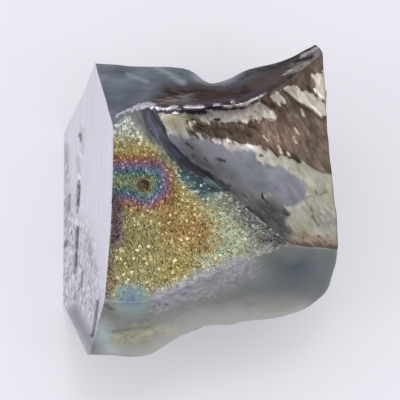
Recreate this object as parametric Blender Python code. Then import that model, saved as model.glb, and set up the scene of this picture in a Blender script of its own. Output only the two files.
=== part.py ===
"""A broken chunk of vanadium metal, sawn flat at one end: one solid, about 7.3 x 8.7 x 5.1 mm.

It lies on its broad flat face, with that face at z = 0. The sawn end is at -x. The break runs
along x as a set of named lines, each with one corner for each station from the sawn end to the
broken end. The corners make a coarse closed cage, whose sharp edges are creased. A Subdivision
Surface rounds the cage, and low relief gives each kind of broken face its own texture.
"""

import math

import bmesh
import bpy
from mathutils import Vector, noise

MM = 0.001

# Corners are laid out as they look from the front, looking down at this angle:
# (across, up, height above the base), all in millimetres.
LOOK_DOWN = math.radians(65)

# The saw cut leans back from the base: across = SAW_FOOT + SAW_LEAN * height.
SAW_FOOT = -3.70
SAW_LEAN = 0.277

# Lines from the sawn end (first) to the broken end (last). The first corner of a line that
# starts on the saw cut has no "across", because the plane of the cut gives it.
LINES = {
    # Rim between the dark top face and the hidden back.
    "rim": [(None, 4.00, 3.08), (-2.28, 3.96, 3.18), (-1.44, 3.87, 3.36), (-0.20, 3.96, 3.50),
            (0.20, 3.22, 3.62), (1.14, 3.86, 3.64), (2.10, 3.96, 3.72), (3.04, 4.48, 3.60)],
    # Trough of the top face, which is a saddle.
    "trough": [(None, 3.12, 4.00), (-2.10, 3.38, 3.90), (-1.56, 3.38, 3.92), (-0.60, 3.28, 3.98),
               (0.42, 3.10, 4.00), (1.32, 3.34, 4.00), (2.16, 3.64, 3.92), (3.16, 4.40, 3.72)],
    # Ridge between the top face and the front.
    "ridge": [(None, 2.28, 4.92), (-1.88, 2.70, 5.04), (-1.40, 2.80, 5.10), (-0.54, 2.80, 5.06),
              (0.42, 2.78, 4.98), (1.32, 2.92, 4.80), (2.22, 3.42, 4.50), (3.24, 4.24, 3.90)],
    # Torn hollow on the right of the front: three lines across it, and its edge on the right.
    "hollow_top": [(-0.48, 2.54, 4.70), (0.44, 2.46, 4.44), (1.38, 2.54, 4.18),
                   (2.34, 2.90, 3.98)],
    "hollow_mid": [(-0.36, 2.22, 4.56), (0.60, 1.88, 4.22), (1.56, 1.68, 3.90),
                   (2.52, 1.80, 3.72)],
    "hollow_low": [(-0.22, 1.66, 4.54), (0.70, 1.10, 4.24), (1.56, 0.42, 3.96),
                   (2.42, -0.08, 3.82)],
    "right_edge": [(3.32, 3.42, 3.72), (3.38, 1.68, 3.64), (3.60, 0.00, 3.64)],
    # Diagonal ridge from the ridge down to the band, between the grainy face and the hollow.
    "diagonal": [(-0.96, 1.92, 5.00), (-0.48, 1.40, 4.96), (0.42, 0.78, 4.84),
                 (1.26, 0.06, 4.64), (2.04, -0.64, 4.44)],
    # Two lines across the grainy face.
    "grain_high": [(None, 0.78, 4.90), (-1.88, 0.96, 5.00), (-1.28, 1.02, 5.00),
                   (-0.42, 0.42, 4.92), (0.44, 0.08, 4.84), (1.24, -0.36, 4.64)],
    "grain_low": [(None, -0.84, 4.62), (-1.86, -0.78, 4.64), (-1.24, -0.72, 4.72),
                  (-0.36, -0.84, 4.72), (0.46, -0.78, 4.68), (1.20, -0.80, 4.56)],
    # Smooth band under the front: its top edge, its middle and its widest line.
    "band_top": [(None, -2.34, 4.12), (-1.86, -2.42, 4.20), (-1.20, -2.30, 4.26),
                 (-0.30, -1.88, 4.32), (0.48, -1.56, 4.38), (1.26, -1.22, 4.40),
                 (2.34, -0.86, 4.32), (3.66, -1.04, 3.72)],
    "band_mid": [(None, -3.06, 3.40), (-2.06, -3.12, 3.42), (-1.32, -3.12, 3.54),
                 (-0.30, -2.68, 3.64), (0.60, -2.40, 3.66), (1.50, -2.14, 3.66),
                 (2.46, -1.84, 3.50), (3.68, -1.36, 3.32)],
    "band_low": [(None, -3.92, 2.58), (-2.22, -3.94, 2.58), (-1.32, -4.04, 2.64),
                 (-0.40, -3.14, 2.76), (0.66, -3.06, 2.82), (1.58, -2.93, 2.82),
                 (2.46, -2.92, 2.72), (3.36, -2.36, 2.58)],
    # Undercut below the band, down to the base.
    "undercut": [(None, -3.16, 1.29), (-2.60, -3.24, 1.30), (-1.62, -3.26, 1.40),
                 (-0.45, -2.92, 1.34), (0.56, -2.66, 1.46), (1.50, -2.58, 1.40),
                 (2.44, -2.24, 1.36), (3.20, -1.42, 1.30)],
    "base_front": [(None, -2.46, 0.0), (-2.88, -2.48, 0.0), (-1.86, -2.46, 0.0),
                   (-0.66, -2.28, 0.0), (0.42, -2.10, 0.0), (1.38, -1.92, 0.0),
                   (2.22, -1.50, 0.0), (2.82, -0.66, 0.0)],
    "base_back": [(None, 2.10, 0.0), (-2.94, 2.16, 0.0), (-2.10, 2.16, 0.0), (-0.96, 2.06, 0.0),
                  (0.12, 2.04, 0.0), (1.08, 2.12, 0.0), (1.98, 2.28, 0.0), (2.76, 2.16, 0.0)],
    # Two lines across the broken back.
    "back_low": [(None, 2.75, 1.15), (-2.66, 2.90, 1.10), (-1.80, 2.80, 1.20),
                 (-0.70, 2.58, 1.05), (0.32, 2.60, 1.15), (1.25, 2.82, 1.20), (2.10, 2.92, 1.10),
                 (2.96, 2.85, 1.20)],
    "back_high": [(None, 3.34, 2.25), (-2.42, 3.52, 2.20), (-1.62, 3.36, 2.40),
                  (-0.60, 3.12, 2.30), (0.42, 2.96, 2.35), (1.32, 3.26, 2.45),
                  (2.14, 3.44, 2.35), (3.02, 3.78, 2.35)],
    # Middle of the broken end.
    "end_middle": [(3.08, 2.60, 2.60), (3.12, 1.00, 2.40), (3.26, -0.80, 2.20)],
}
LAST = 7  # the last station

# How sharp the edge is where two zones meet: 1 stays a knife edge, 0 is rounded away.
SHARP = {
    frozenset({"top", "grain"}): 0.9,
    frozenset({"top", "hollow"}): 1.0,
    frozenset({"top", "back"}): 0.9,
    frozenset({"grain", "hollow"}): 0.9,
    frozenset({"grain", "band"}): 0.75,
    frozenset({"hollow", "band"}): 0.9,
    frozenset({"band", "back"}): 0.35,
    frozenset({"band", "end"}): 0.45,
    frozenset({"back", "end"}): 0.6,
}
KNIFE = 1.0  # every edge that isn't listed above: the saw cut's, the base's and the right edge
# The band's lower corner at the broken end is round, so the edge that runs down from it fades.
ROUND_END = {("band_low", LAST), ("undercut", LAST)}

SMOOTH_LEVELS = 3
KEPT_SHARE = 0.62  # share of the triangles that the Decimate modifier keeps

# Low relief of each broken face: how far it stands from the smooth form, and its grain size.
LEDGE_STEP, LEDGE_SPACING, LEDGE_WANDER = 0.10 * MM, 0.62 * MM, 0.55 * MM
LEDGE_RUN = Vector((0.50, -0.87, 0.0))  # the ledges of the hollow run down to the right
LEDGE_DROP = 4  # a ledge drops this many times as steeply as it rises
LUMP_HEIGHT, LUMP_SIZE = 0.035 * MM, 0.42 * MM
FACET_SIZE, FACET_STEEPNESS = 1.15 * MM, 0.30
FACET_MARGIN = 0.22  # share of a facet's size over which it meets its neighbour
FACET_SEED = 7.3
FACET_SINK = 0.10 * MM  # the facets are broken out of the smooth form, so few stand proud of it
WAVE_HEIGHT, WAVE_SIZE = 0.030 * MM, 1.30 * MM
FADE_RINGS = 4  # rings of faces over which the relief fades out towards a sharp edge
WANDER_HEIGHT, WANDER_SIZE = 0.030 * MM, 0.55 * MM  # unevenness of the edges themselves
SEED = 4  # of the noise that moves the edges

COLOUR = (0.46, 0.46, 0.47, 1.0)  # linear: grey metal under a thin oxide film
ROUGHNESS = 0.32


def corner_place(across, up, height):
    """The point in metres, from how it looks from the front and how high it is."""
    if across is None:
        across = SAW_FOOT + SAW_LEAN * height
    back = up / math.sin(LOOK_DOWN) - height / math.tan(LOOK_DOWN)
    return Vector((across, back, height)) * MM


def strip(upper, lower, first=0, last=LAST):
    """Quads between two lines, as lists of corner names."""
    return [
        [(upper, k), (lower, k), (lower, k + 1), (upper, k + 1)] for k in range(first, last)
    ]


def zone_faces():
    """Zone name to its cage faces. Each face lists its corners anticlockwise from outside."""
    ridge, diagonal = "ridge", "diagonal"
    high, low = "grain_high", "grain_low"
    top, middle, bottom = "hollow_top", "hollow_mid", "hollow_low"
    edge, band, end = "right_edge", "band_top", "end_middle"
    cut_lines = ["rim", "trough", ridge, high, low, band, "band_mid", "band_low",
                 "undercut", "base_front", "base_back", "back_low", "back_high"]
    return {
        "top": strip("rim", "trough") + strip("trough", ridge),
        "grain": [
            *strip(ridge, high, 0, 2),
            [(ridge, 2), (high, 2), (diagonal, 1), (diagonal, 0)],
            *[[(diagonal, k), (high, k + 1), (high, k + 2), (diagonal, k + 1)]
              for k in (1, 2, 3)],
            [(diagonal, 4), (high, 5), (low, 5), (band, 6)],
            *strip(high, low, 0, 5),
            *strip(low, band, 0, 5),
            [(low, 5), (band, 5), (band, 6)],
        ],
        "hollow": [
            [(ridge, 2), (diagonal, 0), (middle, 0), (top, 0), (ridge, 3)],
            [(diagonal, 0), (diagonal, 1), (bottom, 0), (middle, 0)],
            *[[(ridge, k + 3), (top, k), (top, k + 1), (ridge, k + 4)] for k in range(3)],
            [(ridge, 6), (top, 3), (edge, 0), (ridge, 7)],
            *strip(top, middle, 0, 3),
            [(top, 3), (middle, 3), (edge, 1), (edge, 0)],
            *strip(middle, bottom, 0, 3),
            [(middle, 3), (bottom, 3), (edge, 2), (edge, 1)],
            *[[(bottom, k), (diagonal, k + 1), (diagonal, k + 2), (bottom, k + 1)]
              for k in range(3)],
            [(bottom, 3), (diagonal, 4), (band, 6), (band, 7), (edge, 2)],
        ],
        "band": strip(band, "band_mid") + strip("band_mid", "band_low"),
        "back": [
            *strip("band_low", "undercut"),
            *strip("undercut", "base_front"),
            *strip("base_back", "back_low"),
            *strip("back_low", "back_high"),
            *strip("back_high", "rim"),
        ],
        "base": strip("base_front", "base_back"),
        "saw_cut": [[(line, 0) for line in reversed(cut_lines)]],
        "end": [
            [("rim", LAST), ("trough", LAST), (end, 0), ("back_high", LAST)],
            [("trough", LAST), (ridge, LAST), (edge, 0), (end, 0)],
            [(end, 0), (edge, 0), (edge, 1), (end, 1)],
            [("back_high", LAST), (end, 0), (end, 1), ("back_low", LAST)],
            [(end, 1), (edge, 1), (edge, 2), (end, 2)],
            [("back_low", LAST), (end, 1), (end, 2), ("base_back", LAST)],
            [(end, 2), (edge, 2), (band, LAST), ("band_mid", LAST)],
            [(end, 2), ("band_mid", LAST), ("band_low", LAST), ("undercut", LAST)],
            [(end, 2), ("undercut", LAST), ("base_front", LAST), ("base_back", LAST)],
        ],
    }


def cage():
    """The coarse closed mesh, with each face's zone number and each edge's sharpness."""
    corners = [(line, k) for line, places in LINES.items() for k in range(len(places))]
    number = {corner: index for index, corner in enumerate(corners)}
    zones = zone_faces()
    faces = [(zone, face) for zone, group in zones.items() for face in group]
    mesh = bpy.data.meshes.new("vanadium_piece")
    mesh.from_pydata(
        [corner_place(*LINES[line][k]) for line, k in corners],
        [],
        [[number[corner] for corner in face] for _, face in faces],
    )
    names = list(zones)
    shaped = bmesh.new()
    shaped.from_mesh(mesh)
    zone_of = shaped.faces.layers.int.new("zone")
    for face, (zone, _) in zip(shaped.faces, faces):
        face[zone_of] = names.index(zone)
    sharpness = shaped.edges.layers.float.new("crease_edge")
    for edge in shaped.edges:
        meeting = {names[face[zone_of]] for face in edge.link_faces}
        if len(meeting) > 1 and {corners[point.index] for point in edge.verts} != ROUND_END:
            edge[sharpness] = SHARP.get(frozenset(meeting), KNIFE)
    shaped.to_mesh(mesh)
    shaped.free()
    return mesh, names


def applied(piece):
    """The piece's mesh with its modifiers applied, and the modifiers removed."""
    graph = bpy.context.evaluated_depsgraph_get()
    piece.data = bpy.data.meshes.new_from_object(piece.evaluated_get(graph))
    piece.modifiers.clear()


def ledges(place):
    """Torn steps: each rises slowly and drops sharply, along lines that wander."""
    wander = noise.noise(place / (2 * LEDGE_SPACING)) * LEDGE_WANDER
    across = Vector((LEDGE_RUN.y, -LEDGE_RUN.x, 0.0))
    phase = (place.dot(across) + wander) / LEDGE_SPACING
    step = phase - math.floor(phase)
    return LEDGE_STEP * (min(step, LEDGE_DROP * (1 - step)) - 0.5)


def lumps(place):
    return LUMP_HEIGHT * noise.noise(place / LUMP_SIZE)


def facets(place):
    """Flats of the broken crystals: each cell is a plane that tilts its own way."""
    distances, cells = noise.voronoi(place / FACET_SIZE)
    cell = cells[0]
    tilt = noise.cell_vector(cell * FACET_SEED) * 2 - Vector((1, 1, 1))
    inside = min(1.0, (distances[1] - distances[0]) / FACET_MARGIN)
    return FACET_STEEPNESS * inside * tilt.dot(place - cell * FACET_SIZE) - FACET_SINK


def waves(place):
    return WAVE_HEIGHT * noise.noise(place / WAVE_SIZE)


RELIEF = {"top": waves, "grain": lumps, "hollow": ledges, "band": waves,
          "back": facets, "end": facets}


def rings_from_edges(shaped, zone_of):
    """For each point, how many rings of faces lie between it and the nearest zone border."""
    rings = {}
    front = [point for point in shaped.verts
             if len({face[zone_of] for face in point.link_faces}) > 1]
    ring = 0
    while front:
        rings.update((point.index, ring) for point in front)
        around = {edge.other_vert(point) for point in front for edge in point.link_edges}
        front = sorted((point for point in around if point.index not in rings),
                       key=lambda point: point.index)
        ring += 1
    return rings


def roughened(mesh, names):
    """Moves each point along its normal by its zone's relief, which fades out at the edges, and
    lets the edges wander a little. The saw cut and the base stay flat."""
    flats = {"base": Vector((0.0, 0.0, -1.0)),
             "saw_cut": Vector((-1.0, 0.0, SAW_LEAN)).normalized()}
    shaped = bmesh.new()
    shaped.from_mesh(mesh)
    shaped.normal_update()
    zone_of = shaped.faces.layers.int["zone"]
    rings = rings_from_edges(shaped, zone_of)
    moves = []
    for point in shaped.verts:
        meeting = {names[face[zone_of]] for face in point.link_faces}
        move = noise.noise_vector(point.co / WANDER_SIZE) * WANDER_HEIGHT
        if len(meeting) == 1 and not meeting & set(flats):
            fade = min(1.0, rings[point.index] / FADE_RINGS)
            move += point.normal * RELIEF[meeting.pop()](point.co) * fade
        touched = [normal for zone, normal in flats.items() if zone in meeting]
        for normal in touched:
            move -= normal * move.dot(normal)
        if len(touched) > 1:
            move.zero()
        moves.append(move)
    for point, move in zip(shaped.verts, moves):
        point.co += move
    shaped.to_mesh(mesh)
    shaped.free()


def centre_on_base(mesh):
    """Puts the origin under the middle of the piece's box, at the base."""
    low = [min(point.co[axis] for point in mesh.vertices) for axis in range(3)]
    high = [max(point.co[axis] for point in mesh.vertices) for axis in range(3)]
    middle = Vector(((low[0] + high[0]) / 2, (low[1] + high[1]) / 2, 0.0))
    for point in mesh.vertices:
        point.co -= middle


def oxidised_vanadium():
    """Grey metal with a thin, even oxide film."""
    material = bpy.data.materials.new("oxidised_vanadium")
    material.use_nodes = True
    shader = material.node_tree.nodes["Principled BSDF"]
    shader.inputs["Base Color"].default_value = COLOUR
    shader.inputs["Metallic"].default_value = 1.0
    shader.inputs["Roughness"].default_value = ROUGHNESS
    return material


def vanadium_piece():
    mesh, names = cage()
    piece = bpy.data.objects.new("vanadium_piece", mesh)
    bpy.context.scene.collection.objects.link(piece)
    smooth = piece.modifiers.new("smooth", "SUBSURF")
    smooth.levels = smooth.render_levels = SMOOTH_LEVELS
    applied(piece)
    roughened(piece.data, names)
    centre_on_base(piece.data)
    fewer = piece.modifiers.new("fewer", "DECIMATE")
    fewer.ratio = KEPT_SHARE
    piece.data.materials.clear()
    piece.data.materials.append(oxidised_vanadium())
    return piece


for old in list(bpy.data.objects):
    bpy.data.objects.remove(old, do_unlink=True)
noise.seed_set(SEED)
vanadium_piece()
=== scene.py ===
# %% [markdown]
# # A broken chunk of vanadium
#
# Vanadium is a hard grey metal. A lump of it is sawn from the cast and then broken, so one end is
# flat and every other face is torn. A film of oxide, thinner than the wavelength of light, has
# grown on the broken faces. The film gives them gold, violet, blue and green, one after another as
# it thickens, although the metal under it is grey.
#
# The whole chunk is one piece, so this lesson makes one mesh. It is dressed around a fixed solid
# model, which says how large the chunk is and where it lies.

import math

import bmesh
import bpy
import numpy as np
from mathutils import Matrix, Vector, kdtree, noise


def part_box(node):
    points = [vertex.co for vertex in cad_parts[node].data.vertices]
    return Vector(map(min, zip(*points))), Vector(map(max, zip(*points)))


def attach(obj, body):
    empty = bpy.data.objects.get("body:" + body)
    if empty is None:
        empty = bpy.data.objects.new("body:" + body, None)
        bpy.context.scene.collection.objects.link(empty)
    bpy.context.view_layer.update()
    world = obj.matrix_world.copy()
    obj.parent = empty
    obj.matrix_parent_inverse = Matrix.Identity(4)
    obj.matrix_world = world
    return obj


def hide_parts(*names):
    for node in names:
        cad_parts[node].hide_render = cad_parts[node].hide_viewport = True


MM = 0.001
SOLID = "vanadium_piece"

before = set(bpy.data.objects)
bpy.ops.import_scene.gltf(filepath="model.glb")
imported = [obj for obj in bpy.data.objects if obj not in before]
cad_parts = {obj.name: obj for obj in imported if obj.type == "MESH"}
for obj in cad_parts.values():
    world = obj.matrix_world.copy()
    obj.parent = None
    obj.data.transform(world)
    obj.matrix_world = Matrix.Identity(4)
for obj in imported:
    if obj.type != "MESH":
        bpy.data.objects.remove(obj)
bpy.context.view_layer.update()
print("solid:", sorted(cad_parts))

# %% [markdown]
# ## The camera
#
# The chunk is seen from the front, looking down at 65 degrees. A very long lens far away keeps its
# sides parallel, so that near and far edges show at one scale. The frame is centred on the solid
# as the camera sees it, so the solid's corners are measured along the picture's right and up.

# %% Camera
LOOK_DOWN = math.radians(65)
RIGHT = Vector((1, 0, 0))
UP = Vector((0, math.sin(LOOK_DOWN), math.cos(LOOK_DOWN)))
TOWARD = Vector((0, -math.cos(LOOK_DOWN), math.sin(LOOK_DOWN)))
VIEW_WIDTH = 10.7 * MM
LENS, SENSOR = 1200.0, 36.0  # millimetres
NEAR, FAR = 1 * MM, 10.0  # what the camera can see lies between these, in metres


def middle_along(direction):
    """The middle of the solid along a direction, in metres."""
    places = [point.co.dot(direction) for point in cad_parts[SOLID].data.vertices]
    return (min(places) + max(places)) / 2


aim = sum((axis * middle_along(axis) for axis in (RIGHT, UP, TOWARD)), Vector())
camera = bpy.data.objects.new("camera", bpy.data.cameras.new("camera"))
camera.data.lens, camera.data.sensor_width = LENS, SENSOR
camera.data.clip_start, camera.data.clip_end = NEAR, FAR
camera.location = aim + TOWARD * VIEW_WIDTH * LENS / SENSOR
camera.rotation_euler = (math.pi / 2 - LOOK_DOWN, 0, 0)
bpy.context.scene.collection.objects.link(camera)
bpy.context.scene.camera = camera
print("camera is", round((camera.location - aim).length / MM), "mm from the chunk")


# %% [markdown]
# ## Colours and nodes
#
# Colours are written as the hex values that a paint program shows, and Blender wants linear
# light, so one function turns one into the other. One small helper adds a node, sets it and links
# it, which keeps each material short.

# %% Helpers for colours and nodes
def linear(hex_colour):
    """An sRGB hex colour as linear red, green, blue and alpha."""
    channels = [int(hex_colour[i:i + 2], 16) / 255 for i in (1, 3, 5)]
    return [c / 12.92 if c <= 0.04045 else ((c + 0.055) / 1.055) ** 2.4 for c in channels] + [1.0]


def add(tree, kind, inputs=None, stops=None, **settings):
    """Adds a node. Inputs are values, or output sockets to link. Stops are a ramp's colours."""
    node = tree.nodes.new(kind)
    for name, value in settings.items():
        setattr(node, name, value)
    for name, value in (inputs or {}).items():
        if isinstance(value, bpy.types.NodeSocket):
            tree.links.new(value, node.inputs[name])
        else:
            node.inputs[name].default_value = value
    if stops:
        ramp = node.color_ramp.elements
        while len(ramp) < len(stops):
            ramp.new(1.0)
        for element, (place, colour) in zip(ramp, stops):
            element.position, element.color = place, linear(colour)
    return node


print("half of full brightness, #808080, is", round(linear("#808080")[0], 2), "in linear light")

# %% [markdown]
# ## Light
#
# Polished metal shows nothing but its surroundings. A pale room with a darker horizon gives it
# both bright and dark things to mirror. Three small soft boxes make the grains glint one by one,
# which a single broad one would not.
#
# The floor is a pale matt card with a little light from below, as on a light table. An unlit one
# would hold a dark shadow along the chunk's lower edge, and the metal would mirror it.

# %% The pale room
ROOM_LIGHT = 1.05  # strength of the room's own light
bpy.context.scene.view_settings.view_transform = "Standard"
world = bpy.data.worlds.new("pale_room")
bpy.context.scene.world = world
world.use_nodes = True
room = world.node_tree
room.nodes.clear()
direction = add(room, "ShaderNodeTexCoord").outputs["Generated"]
height = add(room, "ShaderNodeSeparateXYZ", {"Vector": direction}).outputs["Z"]
sky = add(room, "ShaderNodeValToRGB", {"Fac": height},
          stops=[(0.0, "#b8b7b5"), (0.15, "#c6c6c6"), (0.4, "#e2e2e6"), (0.75, "#f3f3f7"),
                 (1.0, "#f4f4f8")])
light = add(room, "ShaderNodeBackground", {"Color": sky.outputs["Color"], "Strength": ROOM_LIGHT})
add(room, "ShaderNodeOutputWorld", {"Surface": light.outputs["Background"]})
print("the room has", len(sky.color_ramp.elements), "greys from the floor up")

# %% Soft boxes
SOFT_BOXES = {  # where each one hangs and its side, in millimetres, and its power in watts
    "overhead_box": ((15, 10, 130), 36, 0.020),
    "left_box": ((-90, -50, 90), 36, 0.018),
    "right_box": ((70, -60, 100), 30, 0.012),
}
for name, (place, side, power) in SOFT_BOXES.items():
    lamp = bpy.data.objects.new(name, bpy.data.lights.new(name, "AREA"))
    lamp.data.size = side * MM
    lamp.data.energy = power
    lamp.location = Vector(place) * MM
    lamp.rotation_euler = (-lamp.location).to_track_quat("-Z", "Y").to_euler()
    lamp.visible_camera = False
    bpy.context.scene.collection.objects.link(lamp)
print(len(SOFT_BOXES), "soft boxes")

# %% Floor
FLOOR_RADIUS, FLOOR_SIDES = 600 * MM, 64
CARD_ROUGHNESS, CARD_GLOW = 0.85, 0.40  # matt, so nothing mirrors in it, and lit a little
floor_mesh = bpy.data.meshes.new("floor")
disc = bmesh.new()
bmesh.ops.create_circle(disc, cap_ends=True, radius=FLOOR_RADIUS, segments=FLOOR_SIDES)
disc.to_mesh(floor_mesh)
disc.free()
floor = bpy.data.objects.new("floor", floor_mesh)
bpy.context.scene.collection.objects.link(floor)
card = bpy.data.materials.new("pale_matt_card_lit_from_below")
card.use_nodes = True
shader = card.node_tree.nodes["Principled BSDF"]
shader.inputs["Base Color"].default_value = linear("#b8b7bc")
shader.inputs["Roughness"].default_value = CARD_ROUGHNESS
shader.inputs["Emission Color"].default_value = linear("#e7e6ec")
shader.inputs["Emission Strength"].default_value = CARD_GLOW
floor_mesh.materials.append(card)
print("the floor is", round(2 * FLOOR_RADIUS, 1), "m across")


# %% [markdown]
# ## The form: named lines, a cage and a smooth skin
#
# The real chunk looks as if one saw stroke and several blows gave it its form. It could be sculpted
# by hand, but then the next maker could not change it. Instead, named lines run along it from the
# sawn end to the broken end, with one corner for each of eight stations. Neighbouring lines make a
# coarse cage, its sharp edges are creased, and a Subdivision Surface rounds the rest.
#
# A corner is given as the camera sees it: across, up, and its height above the table, all in
# millimetres. The first corner of most lines lies on the saw cut, whose leaning plane gives its
# place across.

# %% Lines of the dark top face
SAW_FOOT, SAW_LEAN = -3.70, 0.277  # the cut's place across is SAW_FOOT + SAW_LEAN * height
LAST = 7  # the last station

LINES = {
    "rim": [(None, 4.00, 3.08), (-2.28, 3.96, 3.18), (-1.44, 3.87, 3.36), (-0.20, 3.96, 3.50),
            (0.20, 3.22, 3.62), (1.14, 3.86, 3.64), (2.10, 3.96, 3.72), (3.04, 4.48, 3.60)],
    "trough": [(None, 3.12, 4.00), (-2.10, 3.38, 3.90), (-1.56, 3.38, 3.92), (-0.60, 3.28, 3.98),
               (0.42, 3.10, 4.00), (1.32, 3.34, 4.00), (2.16, 3.64, 3.92), (3.16, 4.40, 3.72)],
    "ridge": [(None, 2.28, 4.92), (-1.88, 2.70, 5.04), (-1.40, 2.80, 5.10), (-0.54, 2.80, 5.06),
              (0.42, 2.78, 4.98), (1.32, 2.92, 4.80), (2.22, 3.42, 4.50), (3.24, 4.24, 3.90)],
}
print(len(LINES), "lines of the top face")

# %% Lines of the front: the torn hollow, the diagonal ridge and the grainy face
LINES |= {
    "hollow_top": [(-0.48, 2.54, 4.70), (0.44, 2.46, 4.44), (1.38, 2.54, 4.18),
                   (2.34, 2.90, 3.98)],
    "hollow_mid": [(-0.36, 2.22, 4.56), (0.60, 1.88, 4.22), (1.56, 1.68, 3.90),
                   (2.52, 1.80, 3.72)],
    "hollow_low": [(-0.22, 1.66, 4.54), (0.70, 1.10, 4.24), (1.56, 0.42, 3.96),
                   (2.42, -0.08, 3.82)],
    "right_edge": [(3.32, 3.42, 3.72), (3.38, 1.68, 3.64), (3.60, 0.00, 3.64)],
    "diagonal": [(-0.96, 1.92, 5.00), (-0.48, 1.40, 4.96), (0.42, 0.78, 4.84),
                 (1.26, 0.06, 4.64), (2.04, -0.64, 4.44)],
    "grain_high": [(None, 0.78, 4.90), (-1.88, 0.96, 5.00), (-1.28, 1.02, 5.00),
                   (-0.42, 0.42, 4.92), (0.44, 0.08, 4.84), (1.24, -0.36, 4.64)],
    "grain_low": [(None, -0.84, 4.62), (-1.86, -0.78, 4.64), (-1.24, -0.72, 4.72),
                  (-0.36, -0.84, 4.72), (0.46, -0.78, 4.68), (1.20, -0.80, 4.56)],
}
print(len(LINES), "lines with those of the front")

# %% Lines of the smooth band, the hidden sides and the base
LINES |= {
    "band_top": [(None, -2.34, 4.12), (-1.86, -2.42, 4.20), (-1.20, -2.30, 4.26),
                 (-0.30, -1.88, 4.32), (0.48, -1.56, 4.38), (1.26, -1.22, 4.40),
                 (2.34, -0.86, 4.32), (3.66, -1.04, 3.72)],
    "band_mid": [(None, -3.06, 3.40), (-2.06, -3.12, 3.42), (-1.32, -3.12, 3.54),
                 (-0.30, -2.68, 3.64), (0.60, -2.40, 3.66), (1.50, -2.14, 3.66),
                 (2.46, -1.84, 3.50), (3.68, -1.36, 3.32)],
    "band_low": [(None, -3.92, 2.58), (-2.22, -3.94, 2.58), (-1.32, -4.04, 2.64),
                 (-0.40, -3.14, 2.76), (0.66, -3.06, 2.82), (1.58, -2.93, 2.82),
                 (2.46, -2.92, 2.72), (3.36, -2.36, 2.58)],
    "undercut": [(None, -3.16, 1.29), (-2.60, -3.24, 1.30), (-1.62, -3.26, 1.40),
                 (-0.45, -2.92, 1.34), (0.56, -2.66, 1.46), (1.50, -2.58, 1.40),
                 (2.44, -2.24, 1.36), (3.20, -1.42, 1.30)],
    "base_front": [(None, -2.46, 0.0), (-2.88, -2.48, 0.0), (-1.86, -2.46, 0.0),
                   (-0.66, -2.28, 0.0), (0.42, -2.10, 0.0), (1.38, -1.92, 0.0),
                   (2.22, -1.50, 0.0), (2.82, -0.66, 0.0)],
    "base_back": [(None, 2.10, 0.0), (-2.94, 2.16, 0.0), (-2.10, 2.16, 0.0), (-0.96, 2.06, 0.0),
                  (0.12, 2.04, 0.0), (1.08, 2.12, 0.0), (1.98, 2.28, 0.0), (2.76, 2.16, 0.0)],
    "back_low": [(None, 2.75, 1.15), (-2.66, 2.90, 1.10), (-1.80, 2.80, 1.20),
                 (-0.70, 2.58, 1.05), (0.32, 2.60, 1.15), (1.25, 2.82, 1.20), (2.10, 2.92, 1.10),
                 (2.96, 2.85, 1.20)],
    "back_high": [(None, 3.34, 2.25), (-2.42, 3.52, 2.20), (-1.62, 3.36, 2.40),
                  (-0.60, 3.12, 2.30), (0.42, 2.96, 2.35), (1.32, 3.26, 2.45),
                  (2.14, 3.44, 2.35), (3.02, 3.78, 2.35)],
    "end_middle": [(3.08, 2.60, 2.60), (3.12, 1.00, 2.40), (3.26, -0.80, 2.20)],
}
print(sum(len(places) for places in LINES.values()), "corners on", len(LINES), "lines")


# %% Faces of the front, in the two zones that the diagonal ridge parts
def strip(upper, lower, first=0, last=LAST):
    """Quads between two lines, as lists of corner names."""
    return [
        [(upper, k), (lower, k), (lower, k + 1), (upper, k + 1)] for k in range(first, last)
    ]


def front_faces():
    """Faces of the grainy face and of the hollow."""
    ridge, diagonal = "ridge", "diagonal"
    high, low = "grain_high", "grain_low"
    top, middle, bottom = "hollow_top", "hollow_mid", "hollow_low"
    edge, band = "right_edge", "band_top"
    return {
        "grain": [
            *strip(ridge, high, 0, 2),
            [(ridge, 2), (high, 2), (diagonal, 1), (diagonal, 0)],
            *[[(diagonal, k), (high, k + 1), (high, k + 2), (diagonal, k + 1)]
              for k in (1, 2, 3)],
            [(diagonal, 4), (high, 5), (low, 5), (band, 6)],
            *strip(high, low, 0, 5),
            *strip(low, band, 0, 5),
            [(low, 5), (band, 5), (band, 6)],
        ],
        "hollow": [
            [(ridge, 2), (diagonal, 0), (middle, 0), (top, 0), (ridge, 3)],
            [(diagonal, 0), (diagonal, 1), (bottom, 0), (middle, 0)],
            *[[(ridge, k + 3), (top, k), (top, k + 1), (ridge, k + 4)] for k in range(3)],
            [(ridge, 6), (top, 3), (edge, 0), (ridge, 7)],
            *strip(top, middle, 0, 3),
            [(top, 3), (middle, 3), (edge, 1), (edge, 0)],
            *strip(middle, bottom, 0, 3),
            [(middle, 3), (bottom, 3), (edge, 2), (edge, 1)],
            *[[(bottom, k), (diagonal, k + 1), (diagonal, k + 2), (bottom, k + 1)]
              for k in range(3)],
            [(bottom, 3), (diagonal, 4), (band, 6), (band, 7), (edge, 2)],
        ],
    }


ZONE_FACES = front_faces()
print({zone: len(faces) for zone, faces in ZONE_FACES.items()})


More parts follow.
